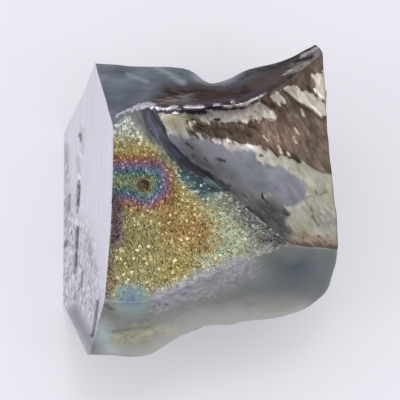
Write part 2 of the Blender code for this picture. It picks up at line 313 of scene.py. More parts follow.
# %% Faces of the top, the band, the hidden sides, the base and both ends
def other_faces():
    """Every other face, in zones by what made it."""
    ridge, edge, band, end = "ridge", "right_edge", "band_top", "end_middle"
    cut_lines = ["rim", "trough", ridge, "grain_high", "grain_low", band, "band_mid", "band_low",
                 "undercut", "base_front", "base_back", "back_low", "back_high"]
    return {
        "top": strip("rim", "trough") + strip("trough", ridge),
        "band": strip(band, "band_mid") + strip("band_mid", "band_low"),
        "under": strip("band_low", "undercut") + strip("undercut", "base_front"),
        "back": [
            *strip("base_back", "back_low"),
            *strip("back_low", "back_high"),
            *strip("back_high", "rim"),
        ],
        "base": strip("base_front", "base_back"),
        "saw_cut": [[(line, 0) for line in reversed(cut_lines)]],
        "end": [
            [("rim", LAST), ("trough", LAST), (end, 0), ("back_high", LAST)],
            [("trough", LAST), (ridge, LAST), (edge, 0), (end, 0)],
            [(end, 0), (edge, 0), (edge, 1), (end, 1)],
            [("back_high", LAST), (end, 0), (end, 1), ("back_low", LAST)],
            [(end, 1), (edge, 1), (edge, 2), (end, 2)],
            [("back_low", LAST), (end, 1), (end, 2), ("base_back", LAST)],
            [(end, 2), (edge, 2), (band, LAST), ("band_mid", LAST)],
            [(end, 2), ("band_mid", LAST), ("band_low", LAST), ("undercut", LAST)],
            [(end, 2), ("undercut", LAST), ("base_front", LAST), ("base_back", LAST)],
        ],
    }


ZONE_FACES |= other_faces()
ZONES = list(ZONE_FACES)
print({zone: len(faces) for zone, faces in ZONE_FACES.items()})

# %% [markdown]
# ## From cage to skin
#
# A crease of 1 keeps an edge as sharp as a knife, and 0 lets it round away. The saw cut and the
# torn edges stay sharp. The band rolls softly into the hidden sides.

# %% How sharp the edges between two zones are
SHARP = {
    frozenset({"top", "grain"}): 0.9,
    frozenset({"top", "back"}): 0.9,
    frozenset({"grain", "hollow"}): 0.9,
    frozenset({"grain", "band"}): 0.75,
    frozenset({"hollow", "band"}): 0.9,
    frozenset({"band", "under"}): 0.35,
    frozenset({"band", "end"}): 0.45,
    frozenset({"back", "end"}): 0.6,
    frozenset({"under", "end"}): 0.6,
}
KNIFE = 1.0  # every other edge between two zones
# The band's lower corner at the broken end is round, so the edge that runs down from it fades.
ROUND_END = {("band_low", LAST), ("undercut", LAST)}
print(len(SHARP), "kinds of edge are softer than a knife")


# %% The cage
def corner_place(across, up, height):
    """A corner in metres, from how it looks to the camera and how high it is."""
    if across is None:
        across = SAW_FOOT + SAW_LEAN * height
    back = up / math.sin(LOOK_DOWN) - height / math.tan(LOOK_DOWN)
    return Vector((across, back, height)) * MM


def cage():
    """The mesh of the named faces, which knows each face's zone and how sharp each edge is."""
    corners = [(line, k) for line, places in LINES.items() for k in range(len(places))]
    number = {corner: index for index, corner in enumerate(corners)}
    faces = [(zone, face) for zone, group in ZONE_FACES.items() for face in group]
    mesh = bpy.data.meshes.new("vanadium_chunk")
    mesh.from_pydata(
        [corner_place(*LINES[line][k]) for line, k in corners],
        [],
        [[number[corner] for corner in face] for _, face in faces],
    )
    shaped = bmesh.new()
    shaped.from_mesh(mesh)
    zone_of = shaped.faces.layers.int.new("zone")
    sharpness = shaped.edges.layers.float.new("crease_edge")
    for face, (zone, _) in zip(shaped.faces, faces):
        face[zone_of] = ZONES.index(zone)
    for edge in shaped.edges:
        meeting = {ZONES[face[zone_of]] for face in edge.link_faces}
        if len(meeting) > 1 and {corners[point.index] for point in edge.verts} != ROUND_END:
            edge[sharpness] = SHARP.get(frozenset(meeting), KNIFE)
    shaped.to_mesh(mesh)
    shaped.free()
    return mesh


chunk = bpy.data.objects.new("vanadium_chunk", cage())
bpy.context.scene.collection.objects.link(chunk)
print("cage:", len(chunk.data.vertices), "corners and", len(chunk.data.polygons), "faces")


# %% The skin
def apply_modifiers(obj):
    """The object's mesh becomes a plain one with its modifiers applied."""
    graph = bpy.context.evaluated_depsgraph_get()
    obj.data = bpy.data.meshes.new_from_object(obj.evaluated_get(graph))
    obj.modifiers.clear()


SMOOTH_LEVELS = 4
skin = chunk.modifiers.new("skin", "SUBSURF")
skin.levels = skin.render_levels = SMOOTH_LEVELS
apply_modifiers(chunk)
print("skin:", len(chunk.data.polygons), "faces")

# %% [markdown]
# ## Where each colour lies
#
# The oxide film is not even. It is thickest round one spot of the grainy face, which shows as a
# ring of colours, and the torn hollow shows bright metal beside dark. Each patch is drawn as a few
# corners of an outline, or as a line with a width, in millimetres across and up as the camera sees
# them. Every point of the mesh then gets its signed distance to the patch. A distance is better
# than a hard mask, because a material can add noise to it before it cuts the edge, and so tear the
# edge as finely as it likes.

# %% Signed distances to outlines and lines
def edge_distances(places, corners, closed):
    """Each place's distance to the nearest edge, and whether a closed outline holds it."""
    ends = corners[1:] + corners[:1] if closed else corners[1:]
    nearest = np.full(len(places), np.inf)
    held = np.zeros(len(places), bool)
    for start, end in zip(np.array(corners), np.array(ends)):
        edge = end - start
        share = np.clip((places - start) @ edge / (edge @ edge), 0, 1)
        nearest = np.minimum(nearest, np.linalg.norm(places - start - share[:, None] * edge, axis=1))
        if edge[1]:
            crosses = (start[1] > places[:, 1]) != (end[1] > places[:, 1])
            meets = start[0] + edge[0] * (places[:, 1] - start[1]) / edge[1]
            held ^= crosses & (places[:, 0] < meets)
    return nearest, held


def depth_in(places, outlines=(), lines=()):
    """Signed distance in millimetres to the union of outlines and (corners, width) lines."""
    depth = np.full(len(places), -np.inf)
    for corners in outlines:
        nearest, held = edge_distances(places, corners, closed=True)
        depth = np.maximum(depth, np.where(held, nearest, -nearest))
    for corners, width in lines:
        nearest, _ = edge_distances(places, corners, closed=False)
        depth = np.maximum(depth, width / 2 - nearest)
    return depth


square = [(0.0, 0.0), (2.0, 0.0), (2.0, 2.0), (0.0, 2.0)]
print("in the middle of a 2 mm square:", depth_in(np.array([(1.0, 1.0)]), [square])[0], "mm deep")


# %% Points, where they show, and numbers kept on them
def points_of(mesh):
    """The mesh's points in metres, as an array."""
    flat = np.empty(3 * len(mesh.vertices))
    mesh.vertices.foreach_get("co", flat)
    return flat.reshape(-1, 3)


def seen(points):
    """Where points in metres appear to the camera: millimetres across and up."""
    return np.stack([points @ RIGHT, points @ UP], axis=1) / MM


def store(mesh, name, values, domain="POINT"):
    """Keeps one number for each point or face, under a name that a material can read."""
    layer = mesh.attributes.new(name, "FLOAT", domain)
    layer.data.foreach_set("value", values.astype(np.float32))


print("the skin has", len(points_of(chunk.data)), "points")

# %% Patches of the torn hollow: the brown wedge and what lies in it
PATCHES = {
    # Brown wedge, which tears open towards the right and up to the ridge.
    "wedge": {
        "outlines": [
            [(-0.06, 2.30), (0.25, 2.30), (0.33, 2.36), (0.36, 2.47), (0.49, 2.44), (0.55, 2.32),
             (0.73, 2.38), (1.00, 2.38), (1.27, 2.36), (1.31, 2.54), (1.38, 2.52), (1.46, 2.41),
             (1.64, 2.44), (1.60, 2.90), (1.60, 3.06), (2.10, 3.50), (3.10, 4.50), (3.70, 3.00),
             (3.60, 0.92), (3.36, 1.02), (3.09, 1.12), (2.82, 1.26), (2.69, 1.39), (2.58, 1.33),
             (2.36, 1.42), (2.18, 1.50), (2.05, 1.47), (1.91, 1.63), (1.75, 1.69), (1.70, 1.63),
             (1.56, 1.75), (1.22, 1.82), (0.84, 1.91), (0.55, 1.99), (0.22, 2.06), (0.06, 2.17)],
        ],
        "lines": [([(-0.36, 2.41), (-0.18, 2.44)], 0.05),
                  ([(-0.33, 2.38), (-0.26, 2.20), (-0.16, 2.09)], 0.06)],
    },
    # Bright bars that cross its upper end, and a bright corner above them.
    "bars": {"outlines": [
        [(1.41, 2.70), (1.48, 2.92), (1.64, 2.92), (1.78, 2.81), (1.96, 2.64), (2.05, 2.52),
         (1.96, 2.45), (1.74, 2.49), (1.57, 2.58)],
        [(1.96, 3.20), (2.10, 3.13), (2.26, 3.02), (2.27, 2.86), (2.20, 2.83), (1.96, 2.97),
         (1.89, 3.06)],
        [(2.17, 3.25), (2.45, 3.41), (2.66, 3.25), (2.92, 3.15), (3.12, 3.02), (3.33, 2.90),
         (3.50, 2.60), (3.24, 2.53), (2.98, 2.72), (2.66, 2.93), (2.41, 3.11)],
        [(2.99, 3.66), (3.50, 3.80), (3.50, 2.90), (3.30, 2.98), (3.05, 3.24)],
    ]},
    # Dark gashes beside the bars and along the lower edge of the wedge.
    "gashes": {"lines": [
        ([(2.24, 3.18), (2.45, 3.02), (2.66, 2.88), (2.98, 2.67), (3.19, 2.46)], 0.07),
        ([(1.62, 2.93), (1.89, 2.78)], 0.07), ([(1.90, 2.86), (2.10, 2.70)], 0.10),
        ([(1.88, 1.72), (2.05, 1.50)], 0.07), ([(2.23, 1.63), (2.36, 1.45)], 0.06),
        ([(2.42, 1.55), (2.61, 1.34)], 0.09), ([(1.32, 2.54), (1.35, 2.38)], 0.05),
        ([(0.37, 2.44), (0.49, 2.43)], 0.07), ([(-0.10, 2.31), (0.11, 2.20)], 0.10),
        ([(2.88, 3.34), (2.92, 3.24)], 0.10), ([(0.62, 2.20), (0.84, 2.12)], 0.06),
        ([(1.10, 2.16), (1.30, 2.04)], 0.06), ([(1.30, 2.30), (1.50, 2.24)], 0.06),
    ]},
    # Thin bright slivers that lie in the wedge and run steeply down to the right.
    "slivers": {"lines": [
        ([(2.67, 2.76), (2.75, 2.57)], 0.06), ([(2.52, 2.24), (2.62, 2.08)], 0.055),
        ([(2.46, 2.02), (2.55, 1.84)], 0.05), ([(1.69, 2.02), (1.77, 1.92)], 0.055),
        ([(2.05, 1.76), (2.15, 1.56)], 0.06), ([(1.49, 2.47), (1.57, 2.37)], 0.05),
        ([(2.30, 1.60), (2.36, 1.50)], 0.04),
    ]},
    # The wedge is darkest at its point and warmest in its middle.
    "wedge_dark": {"lines": [([(-0.10, 2.24), (0.60, 2.14), (1.20, 2.10)], 0.50)]},
    "wedge_warm": {"lines": [([(1.80, 2.00), (2.30, 1.96)], 0.50)]},
}
print(len(PATCHES), "patches of the wedge")

# %% Patches of the torn hollow: its smooth middle and the dark slope
PATCHES |= {
    # Smooth lavender-grey middle.
    "smooth": {"outlines": [
        [(-1.00, 2.00), (-0.80, 2.06), (-0.42, 1.98), (-0.03, 2.02), (0.28, 1.90), (0.79, 1.66),
         (1.30, 1.62), (1.42, 1.56), (1.48, 1.37), (1.64, 1.26), (2.14, 1.22), (2.48, 1.00),
         (2.74, 0.82), (2.86, 0.58), (2.83, 0.42), (2.74, 0.29), (2.60, 0.20), (2.46, 0.10),
         (2.16, 0.16), (1.84, 0.48), (1.55, 0.40), (1.20, 0.00), (0.60, 0.30), (0.00, 0.80),
         (-0.70, 1.30)],
    ]},
    # Small dark dents in the smooth middle.
    "dents": {"lines": [
        ([(-0.38, 1.82), (-0.22, 1.70)], 0.06), ([(0.44, 1.41), (0.60, 1.34)], 0.08),
        ([(-0.24, 1.50), (-0.16, 1.46)], 0.05), ([(0.10, 1.44), (0.16, 1.36)], 0.05),
        ([(1.55, 1.49), (1.64, 1.48)], 0.06),
    ]},
    "smooth_lit": {"lines": [([(1.90, 0.66), (2.30, 0.62), (2.62, 0.36)], 0.26)]},
    # Dark streaked slope along the diagonal ridge, with a darker end and a black line in it.
    "slope": {"outlines": [
        [(0.10, 0.94), (0.40, 0.90), (0.74, 0.64), (1.24, 0.56), (1.63, 0.44), (1.83, 0.50),
         (2.13, 0.33), (2.31, 0.08), (2.36, -0.29), (2.48, -0.51), (2.60, -0.64), (2.30, -0.90),
         (1.98, -0.84), (1.10, -0.10), (0.30, 0.60)],
    ]},
    "slope_dark": {"outlines": [
        [(1.50, 0.26), (1.90, 0.30), (2.18, 0.06), (2.28, -0.25), (2.42, -0.56), (2.30, -0.76),
         (1.95, -0.72), (1.66, -0.40), (1.46, -0.10)],
    ]},
    "slope_line": {"lines": [([(1.24, 0.12), (1.42, -0.02), (1.70, -0.30)], 0.09),
                             ([(1.66, 0.42), (1.78, 0.28)], 0.07),
                             ([(2.22, 0.02), (2.32, -0.08)], 0.07)]},
}
print(len(PATCHES), "patches so far")

# %% Patches of the torn hollow: its edges
PATCHES |= {
    # Bright shape between the slope and the right edge, with dark notches beside it.
    "cream": {"outlines": [
        [(2.58, 0.10), (2.41, 0.02), (2.45, -0.15), (2.27, -0.20), (2.43, -0.45), (2.56, -0.62),
         (3.01, -0.62), (3.05, -0.45), (2.92, -0.24), (2.75, -0.03)],
    ]},
    "notches": {"lines": [
        ([(2.96, -0.14), (3.13, -0.38)], 0.07), ([(3.05, 0.55), (3.11, 0.44)], 0.05),
        ([(3.22, 0.46), (3.37, 0.55)], 0.05), ([(2.34, -0.10), (2.40, -0.02)], 0.04),
        ([(2.93, 0.12), (3.00, -0.14)], 0.05), ([(2.86, 0.40), (2.98, 0.42)], 0.04),
    ]},
    # Yellower metal at the upper left, and rosy edges above and under the wedge.
    "olive_metal": {"lines": [([(-0.72, 2.44), (-0.34, 2.42)], 0.44)]},
    "rosy_edge": {"lines": [([(0.24, 2.00), (0.80, 1.86), (1.46, 1.70)], 0.15),
                            ([(0.30, 2.59), (0.90, 2.55), (1.36, 2.67)], 0.17)]},
    # Painted shade: darker metal towards the right edge.
    "right_dim": {"outlines": [
        [(1.70, 1.70), (3.80, 1.10), (3.80, -0.60), (2.60, -0.50), (2.80, 0.40), (2.20, 1.10)],
    ]},
    # Greyer metal by the right edge, and the rusty corner under it.
    "right_grey": {"outlines": [
        [(3.14, 0.02), (3.70, 0.06), (3.70, -0.52), (3.12, -0.46), (3.02, -0.20)],
    ]},
    "rust": {"outlines": [
        [(2.36, -0.60), (2.80, -0.52), (3.20, -0.60), (3.80, -0.56), (3.80, -1.30),
         (2.10, -1.30)],
    ]},
    "rust_edge": {"lines": [([(2.20, -0.86), (3.66, -1.02)], 0.22)]},
    "rust_spots": {"lines": [
        ([(2.72, -0.67), (2.74, -0.70)], 0.06), ([(3.10, -0.63), (3.13, -0.66)], 0.05),
        ([(3.29, -0.78), (3.32, -0.80)], 0.06),
    ]},
}
print(len(PATCHES), "patches of the hollow")

# %% Patches of the grainy face: the ring, and the step down to the hollow
PATCHES |= {
    # Outer edge of the ring of colours, open towards the saw cut.
    "ring": {"outlines": [
        [(-3.60, 1.30), (-1.06, 1.32), (-0.88, 0.98), (-0.88, 0.48), (-1.46, 0.08),
         (-1.84, 0.28), (-3.60, 0.30)],
    ]},
    # Smooth bevel, and the dark riser between it and the hollow, across the diagonal ridge.
    "bevel": {"outlines": [
        [(-2.00, 2.74), (-1.87, 2.50), (-1.68, 2.24), (-1.46, 1.93), (-1.11, 1.58),
         (-0.87, 1.30), (-0.60, 1.20), (-0.68, 1.50), (-1.10, 1.93), (-1.40, 2.30),
         (-1.50, 2.80)],
    ]},
    "bevel_low": {"lines": [([(-1.04, 1.56), (-0.76, 1.28)], 0.20)]},
    "bevel_top": {"lines": [([(-1.80, 2.64), (-1.60, 2.30)], 0.30)]},
    # The riser's dark colours are painted shade on its step.
    "riser": {"outlines": [
        [(-1.56, 2.86), (-1.54, 2.53), (-1.44, 2.24), (-1.18, 1.93), (-0.92, 1.58),
         (-0.68, 1.34), (-0.45, 1.10), (-0.02, 0.88), (0.15, 0.72), (0.38, 0.56), (0.74, 0.58),
         (0.80, 0.75), (0.42, 0.93), (0.22, 1.10), (-0.21, 1.34), (-0.45, 1.58), (-0.83, 1.93),
         (-0.92, 2.24), (-1.06, 2.53), (-1.10, 2.86)],
    ]},
    "riser_line": {"lines": [([(-1.44, 2.66), (-1.34, 2.36), (-1.18, 2.08)], 0.10)]},
    "riser_blue": {"lines": [([(-0.72, 1.68), (-0.52, 1.47)], 0.09)]},
    "riser_low": {"lines": [([(-0.50, 1.36), (-0.14, 1.12), (0.26, 0.92)], 0.15)]},
    "riser_end": {"lines": [([(0.14, 0.84), (0.66, 0.68)], 0.11)]},
    # Teal grains along the foot of the riser.
    "teal": {"outlines": [
        [(-0.70, 1.46), (-0.40, 1.32), (-0.10, 1.12), (0.20, 0.96), (0.74, 0.66), (0.50, 0.40),
         (0.10, 0.34), (-0.14, 0.50), (-0.38, 0.76), (-0.66, 0.98)],
    ]},
}
print(len(PATCHES), "patches so far")

# %% Patches of the grainy face: its colours and its edges
PATCHES |= {
    # Grey foot of the diagonal ridge, where the grains get coarse and pale.
    "foot": {"outlines": [
        [(0.46, 0.66), (1.10, 0.70), (1.62, 0.20), (2.50, -0.40), (2.70, -1.10), (1.40, -1.10),
         (1.44, -0.70), (1.02, -0.30), (0.62, 0.12), (0.34, 0.42)],
    ]},
    "foot_red": {"lines": [([(1.58, -0.78), (1.64, -0.75)], 0.10)]},
    # Paler hem of the grains along the band.
    "hem": {"lines": [([(-1.20, -2.20), (0.20, -1.62), (1.71, -0.98)], 0.24),
                      ([(-2.56, -2.38), (-1.30, -2.36)], 0.16)]},
    # Green and teal sparkles on the right, orange in the middle, olive left, pale top left.
    "sparkle": {"outlines": [
        [(-0.10, 0.60), (0.40, 0.40), (1.10, -0.20), (1.90, -0.60), (1.50, -1.20),
         (-0.20, -1.80), (0.10, -1.30), (0.45, -0.80), (0.46, -0.20), (0.20, 0.20)],
    ]},
    "orange": {"outlines": [
        [(-1.20, 0.00), (-0.90, 0.22), (-0.20, 0.26), (0.30, -0.10), (0.40, -0.60),
         (0.06, -1.16), (-0.50, -1.40), (-1.00, -1.10), (-1.26, -0.60)],
    ]},
    "olive": {"outlines": [
        [(-2.50, -0.10), (-1.60, -0.20), (-1.10, -0.50), (-1.04, -1.10), (-1.50, -1.60),
         (-2.60, -1.70)],
    ]},
    "pale_top": {"outlines": [
        [(-2.60, 2.50), (-1.90, 2.70), (-1.60, 2.40), (-1.70, 2.06), (-2.10, 2.00),
         (-2.60, 2.06)],
    ]},
    # Dark line along the saw cut's edge, with a red spot in it.
    "cut_edge": {"lines": [
        ([(-2.30, 0.30), (-2.26, -0.20), (-2.29, -0.74)], 0.40),
        ([(-2.38, -0.74), (-2.46, -1.60), (-2.56, -2.60)], 0.09),
    ]},
    "cut_red": {"lines": [([(-2.36, -1.82), (-2.39, -1.98)], 0.13)]},
    # Pale blue pool at the lower left, with a slate ring in it, which spills on to the band.
    "pool": {"lines": [([(-1.92, -2.32), (-1.80, -2.33)], 0.92)]},
    "pool_ring": {"lines": [([(-1.90, -2.31), (-1.83, -2.32)], 0.46)]},
    "pool_middle": {"lines": [([(-1.88, -2.30), (-1.84, -2.30)], 0.13)]},
}
print(len(PATCHES), "patches so far")

# %% Patches of the top face, and of the lip between it and the hollow
PATCHES |= {
    # Dark over most of it, oxide and painted reflection; the rim's paler hollow is painted
    # reflection.
    "top_dark": {"outlines": [
        [(-1.00, 3.44), (-0.20, 3.42), (0.60, 3.36), (1.50, 3.60), (3.30, 4.70), (3.60, 4.20),
         (2.20, 3.10), (1.20, 2.80), (0.40, 2.70), (-0.90, 2.70), (-1.40, 2.90)],
    ]},
    "top_pale": {"outlines": [
        [(-0.40, 3.90), (-0.16, 3.60), (0.16, 3.46), (0.60, 3.44), (0.90, 3.56), (1.20, 3.90),
         (0.00, 4.10)],
    ]},
    # Light streaks, painted highlights.
    "top_streak": {"lines": [
        ([(-1.94, 3.66), (-1.46, 3.47)], 0.07),
        ([(-1.17, 3.84), (-0.80, 3.66), (-0.48, 3.46)], 0.12),
    ]},
    # Painted highlights and dark tears at the end of the arm.
    "arm_bright": {"lines": [
        ([(2.69, 3.78), (3.09, 4.04)], 0.06), ([(2.66, 4.14), (3.10, 4.40)], 0.07),
        ([(2.20, 3.66), (2.44, 3.80)], 0.04), ([(3.18, 3.84), (3.26, 3.80)], 0.06),
    ]},
    "arm_dark": {"lines": [
        ([(2.50, 4.00), (2.96, 4.16)], 0.09), ([(2.80, 4.37), (3.06, 4.52)], 0.07),
        ([(2.36, 3.60), (2.86, 3.80)], 0.06),
    ]},
    # A violet line beside the lip, and a dark seam along the arm.
    "top_violet": {"lines": [([(-0.60, 2.91), (0.40, 2.91), (1.10, 3.02), (1.70, 3.28)], 0.08)]},
    "top_seam": {"lines": [([(0.90, 3.62), (2.00, 3.90), (3.10, 4.46)], 0.12)]},
    # Less oxide on the arm that runs up to the right; painted light at its end and by the lip.
    "top_arm": {"lines": [([(1.50, 3.30), (2.30, 3.74)], 0.30)]},
    "top_lit": {"lines": [
        ([(2.60, 3.90), (3.20, 4.34)], 0.40), ([(-1.00, 2.98), (-0.30, 2.98)], 0.16),
    ]},
    # Raised torn lip along the ridge, with a painted highlight, and painted shade under it.
    "lip": {"lines": [
        ([(-2.26, 2.54), (-1.94, 2.69)], 0.08), ([(-1.94, 2.69), (-1.64, 2.79)], 0.11),
        ([(-1.64, 2.80), (-1.40, 2.87)], 0.14), ([(-1.40, 2.86), (-1.24, 2.82)], 0.13),
        ([(-1.19, 2.75), (-0.83, 2.73)], 0.045), ([(-0.80, 2.80), (-0.64, 2.80)], 0.06),
        ([(-0.74, 2.61), (-0.60, 2.61)], 0.05), ([(-0.43, 2.79), (0.03, 2.79)], 0.08),
        ([(0.33, 2.84), (0.50, 2.84)], 0.05), ([(0.60, 2.79), (0.80, 2.80)], 0.06),
        ([(0.82, 2.93), (0.89, 2.93)], 0.05), ([(0.97, 2.84), (1.27, 2.87)], 0.08),
        ([(1.27, 2.91), (1.42, 3.00), (1.72, 3.13)], 0.06),
    ]},
    "under_lip": {"lines": [
        ([(-1.16, 2.69), (-0.80, 2.66), (-0.52, 2.67)], 0.13), ([(-0.52, 2.68), (0.11, 2.67)], 0.13),
        ([(0.11, 2.75), (0.66, 2.74)], 0.10), ([(0.66, 2.74), (1.10, 2.79), (1.50, 2.94)], 0.07),
        ([(-1.02, 2.78), (-0.92, 2.78)], 0.09), ([(-0.62, 2.78), (-0.46, 2.78)], 0.10),
        ([(0.06, 2.80), (0.30, 2.81)], 0.09), ([(0.50, 2.80), (0.60, 2.80)], 0.07),
    ]},
}
print(len(PATCHES), "patches so far")

# %% Patches of the band
PATCHES |= {
    # It is slate under the ridge's foot, dusky at the right and pale along its lower edge.
    "band_slate": {"outlines": [
        [(1.90, -1.20), (2.80, -1.14), (2.96, -1.60), (2.50, -1.84), (1.96, -1.66)],
    ]},
    "band_dusk": {"outlines": [
        [(0.90, -1.70), (3.80, -1.00), (3.60, -2.40), (2.60, -2.60), (0.80, -2.40)],
    ]},
    "band_low": {"lines": [([(-1.60, -3.90), (-0.20, -3.10), (2.60, -2.70)], 0.70)]},
    # Lavender where the grains end, pale cyan at the lower left, and yellow beside it.
    "band_edge": {"lines": [([(-1.10, -2.42), (0.10, -1.92), (1.16, -1.46)], 0.50)]},
    "band_cyan": {"lines": [([(-2.66, -3.12), (-2.34, -3.64)], 0.46)]},
    "band_yellow": {"lines": [
        ([(-2.26, -3.42), (-1.40, -3.24)], 0.30), ([(-1.40, -3.20), (-0.70, -3.14)], 0.10),
    ]},
    # Dark spots where the band meets the grains, and a thin brown line over the yellow.
    "band_spots": {"lines": [
        ([(-2.52, -2.49), (-2.43, -2.54)], 0.10), ([(-2.38, -2.58), (-2.34, -2.59)], 0.06),
        ([(-1.12, -2.45), (-1.09, -2.45)], 0.04), ([(-0.93, -2.46), (-0.89, -2.46)], 0.06),
        ([(-0.50, -2.20), (-0.40, -2.16)], 0.04),
    ]},
    "band_line": {"lines": [([(-2.34, -3.17), (-1.86, -3.11), (-1.34, -3.07)], 0.05)]},
    "band_corner": {"lines": [([(3.50, -1.20), (3.62, -2.00), (3.20, -2.50)], 0.36)]},
}
print(len(PATCHES), "patches so far")

# %% Slits and marks of the saw cut
PATCHES |= {
    # Thin dark slits, and chips of bright metal beside them.
    "slits": {"lines": [
        ([(-3.28, 0.84), (-3.31, 0.40), (-3.32, -0.02)], 0.035),
        ([(-3.29, 0.72), (-3.31, 0.16)], 0.085),
        ([(-3.31, -0.38), (-3.34, -1.00), (-3.38, -1.64)], 0.035),
        ([(-3.32, -0.46), (-3.34, -0.96)], 0.075), ([(-3.35, -1.16), (-3.37, -1.44)], 0.08),
        ([(-2.76, -2.40), (-2.82, -2.90), (-2.90, -3.30)], 0.06),
        ([(-3.62, -0.78), (-3.67, -0.92)], 0.06),
        ([(-3.17, -1.62), (-3.21, -2.02)], 0.03),
        ([(-3.26, 2.06), (-3.24, 1.92)], 0.05),
        ([(-3.54, 0.46), (-3.56, 0.02)], 0.03),
    ]},
    "specks": {"lines": [
        ([(-3.28, 0.98), (-3.26, 0.92)], 0.08),
        ([(-3.34, -0.22), (-3.31, -0.32)], 0.08),
        ([(-3.24, 1.58), (-3.23, 1.50)], 0.06),
        ([(-3.22, 0.16), (-3.20, 0.08)], 0.05),
        ([(-2.93, -1.02), (-2.90, -1.08)], 0.06),
        ([(-2.80, -1.94), (-2.77, -2.00)], 0.06),
    ]},
    # Grey smudges, and a darker foot.
    "smudges": {"lines": [
        ([(-3.64, 1.78), (-3.60, 0.84)], 0.14), ([(-3.20, 2.20), (-3.18, 1.60)], 0.10),
        ([(-3.30, 1.50), (-3.28, 1.00)], 0.08), ([(-3.62, 0.40), (-3.64, -0.30)], 0.10),
        ([(-3.02, -0.66), (-2.94, -1.20), (-2.80, -1.64)], 0.16),
        ([(-3.36, -2.08), (-3.32, -3.06)], 0.10), ([(-2.70, -2.30), (-2.78, -3.00)], 0.08),
    ]},
    "cut_foot": {"lines": [([(-3.40, -2.70), (-3.05, -3.30), (-2.75, -3.85)], 0.30)]},
    # Lower half of the cut, where the blade tore the metal.
    "rough_cut": {"outlines": [
        [(-4.20, 1.60), (-3.50, 0.60), (-3.30, -0.10), (-2.96, -0.30), (-2.76, -1.20),
         (-2.50, -2.40), (-2.40, -4.20), (-4.20, -4.20)],
    ]},
}
print(len(PATCHES), "patches in all")

# %% [markdown]
# ## Finer mesh where there is more to see
#
# The grains are well under a tenth of a millimetre across and the torn slivers about as thin, so
# those two zones get smaller faces, and so does the metal round the slits of the saw cut. The
# hidden sides keep the larger ones, which keeps the whole piece light.

# %% Smaller faces on the grainy face, in the hollow and round the slits
CUTS = {"grain": 2, "hollow": 1, "saw_cut": 2}
SLIT_CUTS, SLIT_MARGIN = 2, 0.12  # the margin is in millimetres


def refined(mesh):
    """Cuts the faces of some zones smaller, and those round the slits once more."""
    shaped = bmesh.new()
    shaped.from_mesh(mesh)
    zone_of = shaped.faces.layers.int["zone"]
    for zone, cuts in CUTS.items():
        inner = {edge for face in shaped.faces if face[zone_of] == ZONES.index(zone)
                 for edge in face.edges}
        bmesh.ops.subdivide_edges(shaped, edges=sorted(inner, key=lambda edge: edge.index),
                                  cuts=cuts, use_grid_fill=True)
        shaped.edges.index_update()
    shaped.verts.index_update()
    near = depth_in(seen(np.array([point.co for point in shaped.verts])), **PATCHES["slits"])
    close = [edge for edge in shaped.edges
             if min(near[point.index] for point in edge.verts) > -SLIT_MARGIN
             and all(face[zone_of] == ZONES.index("saw_cut") for face in edge.link_faces)]
    bmesh.ops.subdivide_edges(shaped, edges=close, cuts=SLIT_CUTS, use_grid_fill=True)
    shaped.to_mesh(mesh)
    shaped.free()


refined(chunk.data)
print("refined:", len(chunk.data.polygons), "faces")

# %% [markdown]
# ## A map for the finish
#
# The materials read the object's own coordinates, so they need no map. A map still helps whoever
# takes the piece elsewhere with its colours in pictures. Each zone is laid flat as it looks square
# on, while the skin is still smooth, and the flats are set side by side in one square.

# %% Helpers for the map
LEVEL = 0.9  # a zone that faces up or down by more than this is laid out as seen from there


def face_zones(mesh):
    """Each face's zone, as its number in ZONES."""
    zones = np.empty(len(mesh.polygons), int)
    mesh.attributes["zone"].data.foreach_get("value", zones)
    return zones


def corner_counts(mesh):
    """How many corners each face has, and the point at each corner."""
    totals = np.empty(len(mesh.polygons), int)
    mesh.polygons.foreach_get("loop_total", totals)
    corners = np.empty(len(mesh.loops), int)
    mesh.loops.foreach_get("vertex_index", corners)
    return totals, corners


def flat_of(points, corners, weights):
    """Corner places on the plane that faces the zone, in metres from its lower left."""
    normal = weights.sum(axis=0)
    normal /= np.linalg.norm(normal)
    level = abs(normal[2]) > LEVEL
    side = np.array((1.0, 0.0, 0.0)) if level else np.cross((0.0, 0.0, 1.0), normal)
    side -= normal * (side @ normal)
    side /= np.linalg.norm(side)
    flat = points[corners] @ np.stack([side, np.cross(normal, side)], axis=1)
    return flat - flat.min(axis=0)


print("faces of each zone:", dict(zip(ZONES, np.bincount(face_zones(chunk.data)).tolist())))


# %% Lay each zone flat on a map
MAP_NAME = "OFBake"
MAP_ROWS = [["grain", "hollow"], ["saw_cut", "top"], ["band", "under"], ["back", "end"], ["base"]]
MAP_GAP = 0.25 * MM  # room between two flats


def lay_flat(mesh):
    """Gives the mesh its map, and returns how wide and how high the laid out flats are."""
    points = points_of(mesh)
    zones = face_zones(mesh)
    totals, corners = corner_counts(mesh)
    normals = np.empty(3 * len(mesh.polygons))
    mesh.polygons.foreach_get("normal", normals)
    areas = np.empty(len(mesh.polygons))
    mesh.polygons.foreach_get("area", areas)
    weights = normals.reshape(-1, 3) * areas[:, None]
    zone_of_corner = np.repeat(zones, totals)
    places = np.zeros((len(corners), 2))
    up = MAP_GAP
    width = 0.0
    for row in MAP_ROWS:
        across, tallest = MAP_GAP, 0.0
        for zone in row:
            chosen = zone_of_corner == ZONES.index(zone)
            flat = flat_of(points, corners[chosen], weights[zones == ZONES.index(zone)])
            places[chosen] = flat + (across, up)
            across += flat[:, 0].max() + MAP_GAP
            tallest = max(tallest, flat[:, 1].max())
        up += tallest + MAP_GAP
        width = max(width, across)
    layer = mesh.uv_layers.new(name=MAP_NAME)
    layer.data.foreach_set("uv", (places / max(up, width)).ravel())
    return width, up


map_size = lay_flat(chunk.data)
print("map:", [round(side / MM, 1) for side in map_size], "mm")

# %% [markdown]
# ## Each point's distance to each patch
#
# The finer mesh is ready, so every point of it is measured against every patch. The distances stay
# with the points when the relief moves them, so a colour lies where it was drawn, on a rough
# surface as on a smooth one. A patch painted by hand would have to be painted again after each
# change of the form.

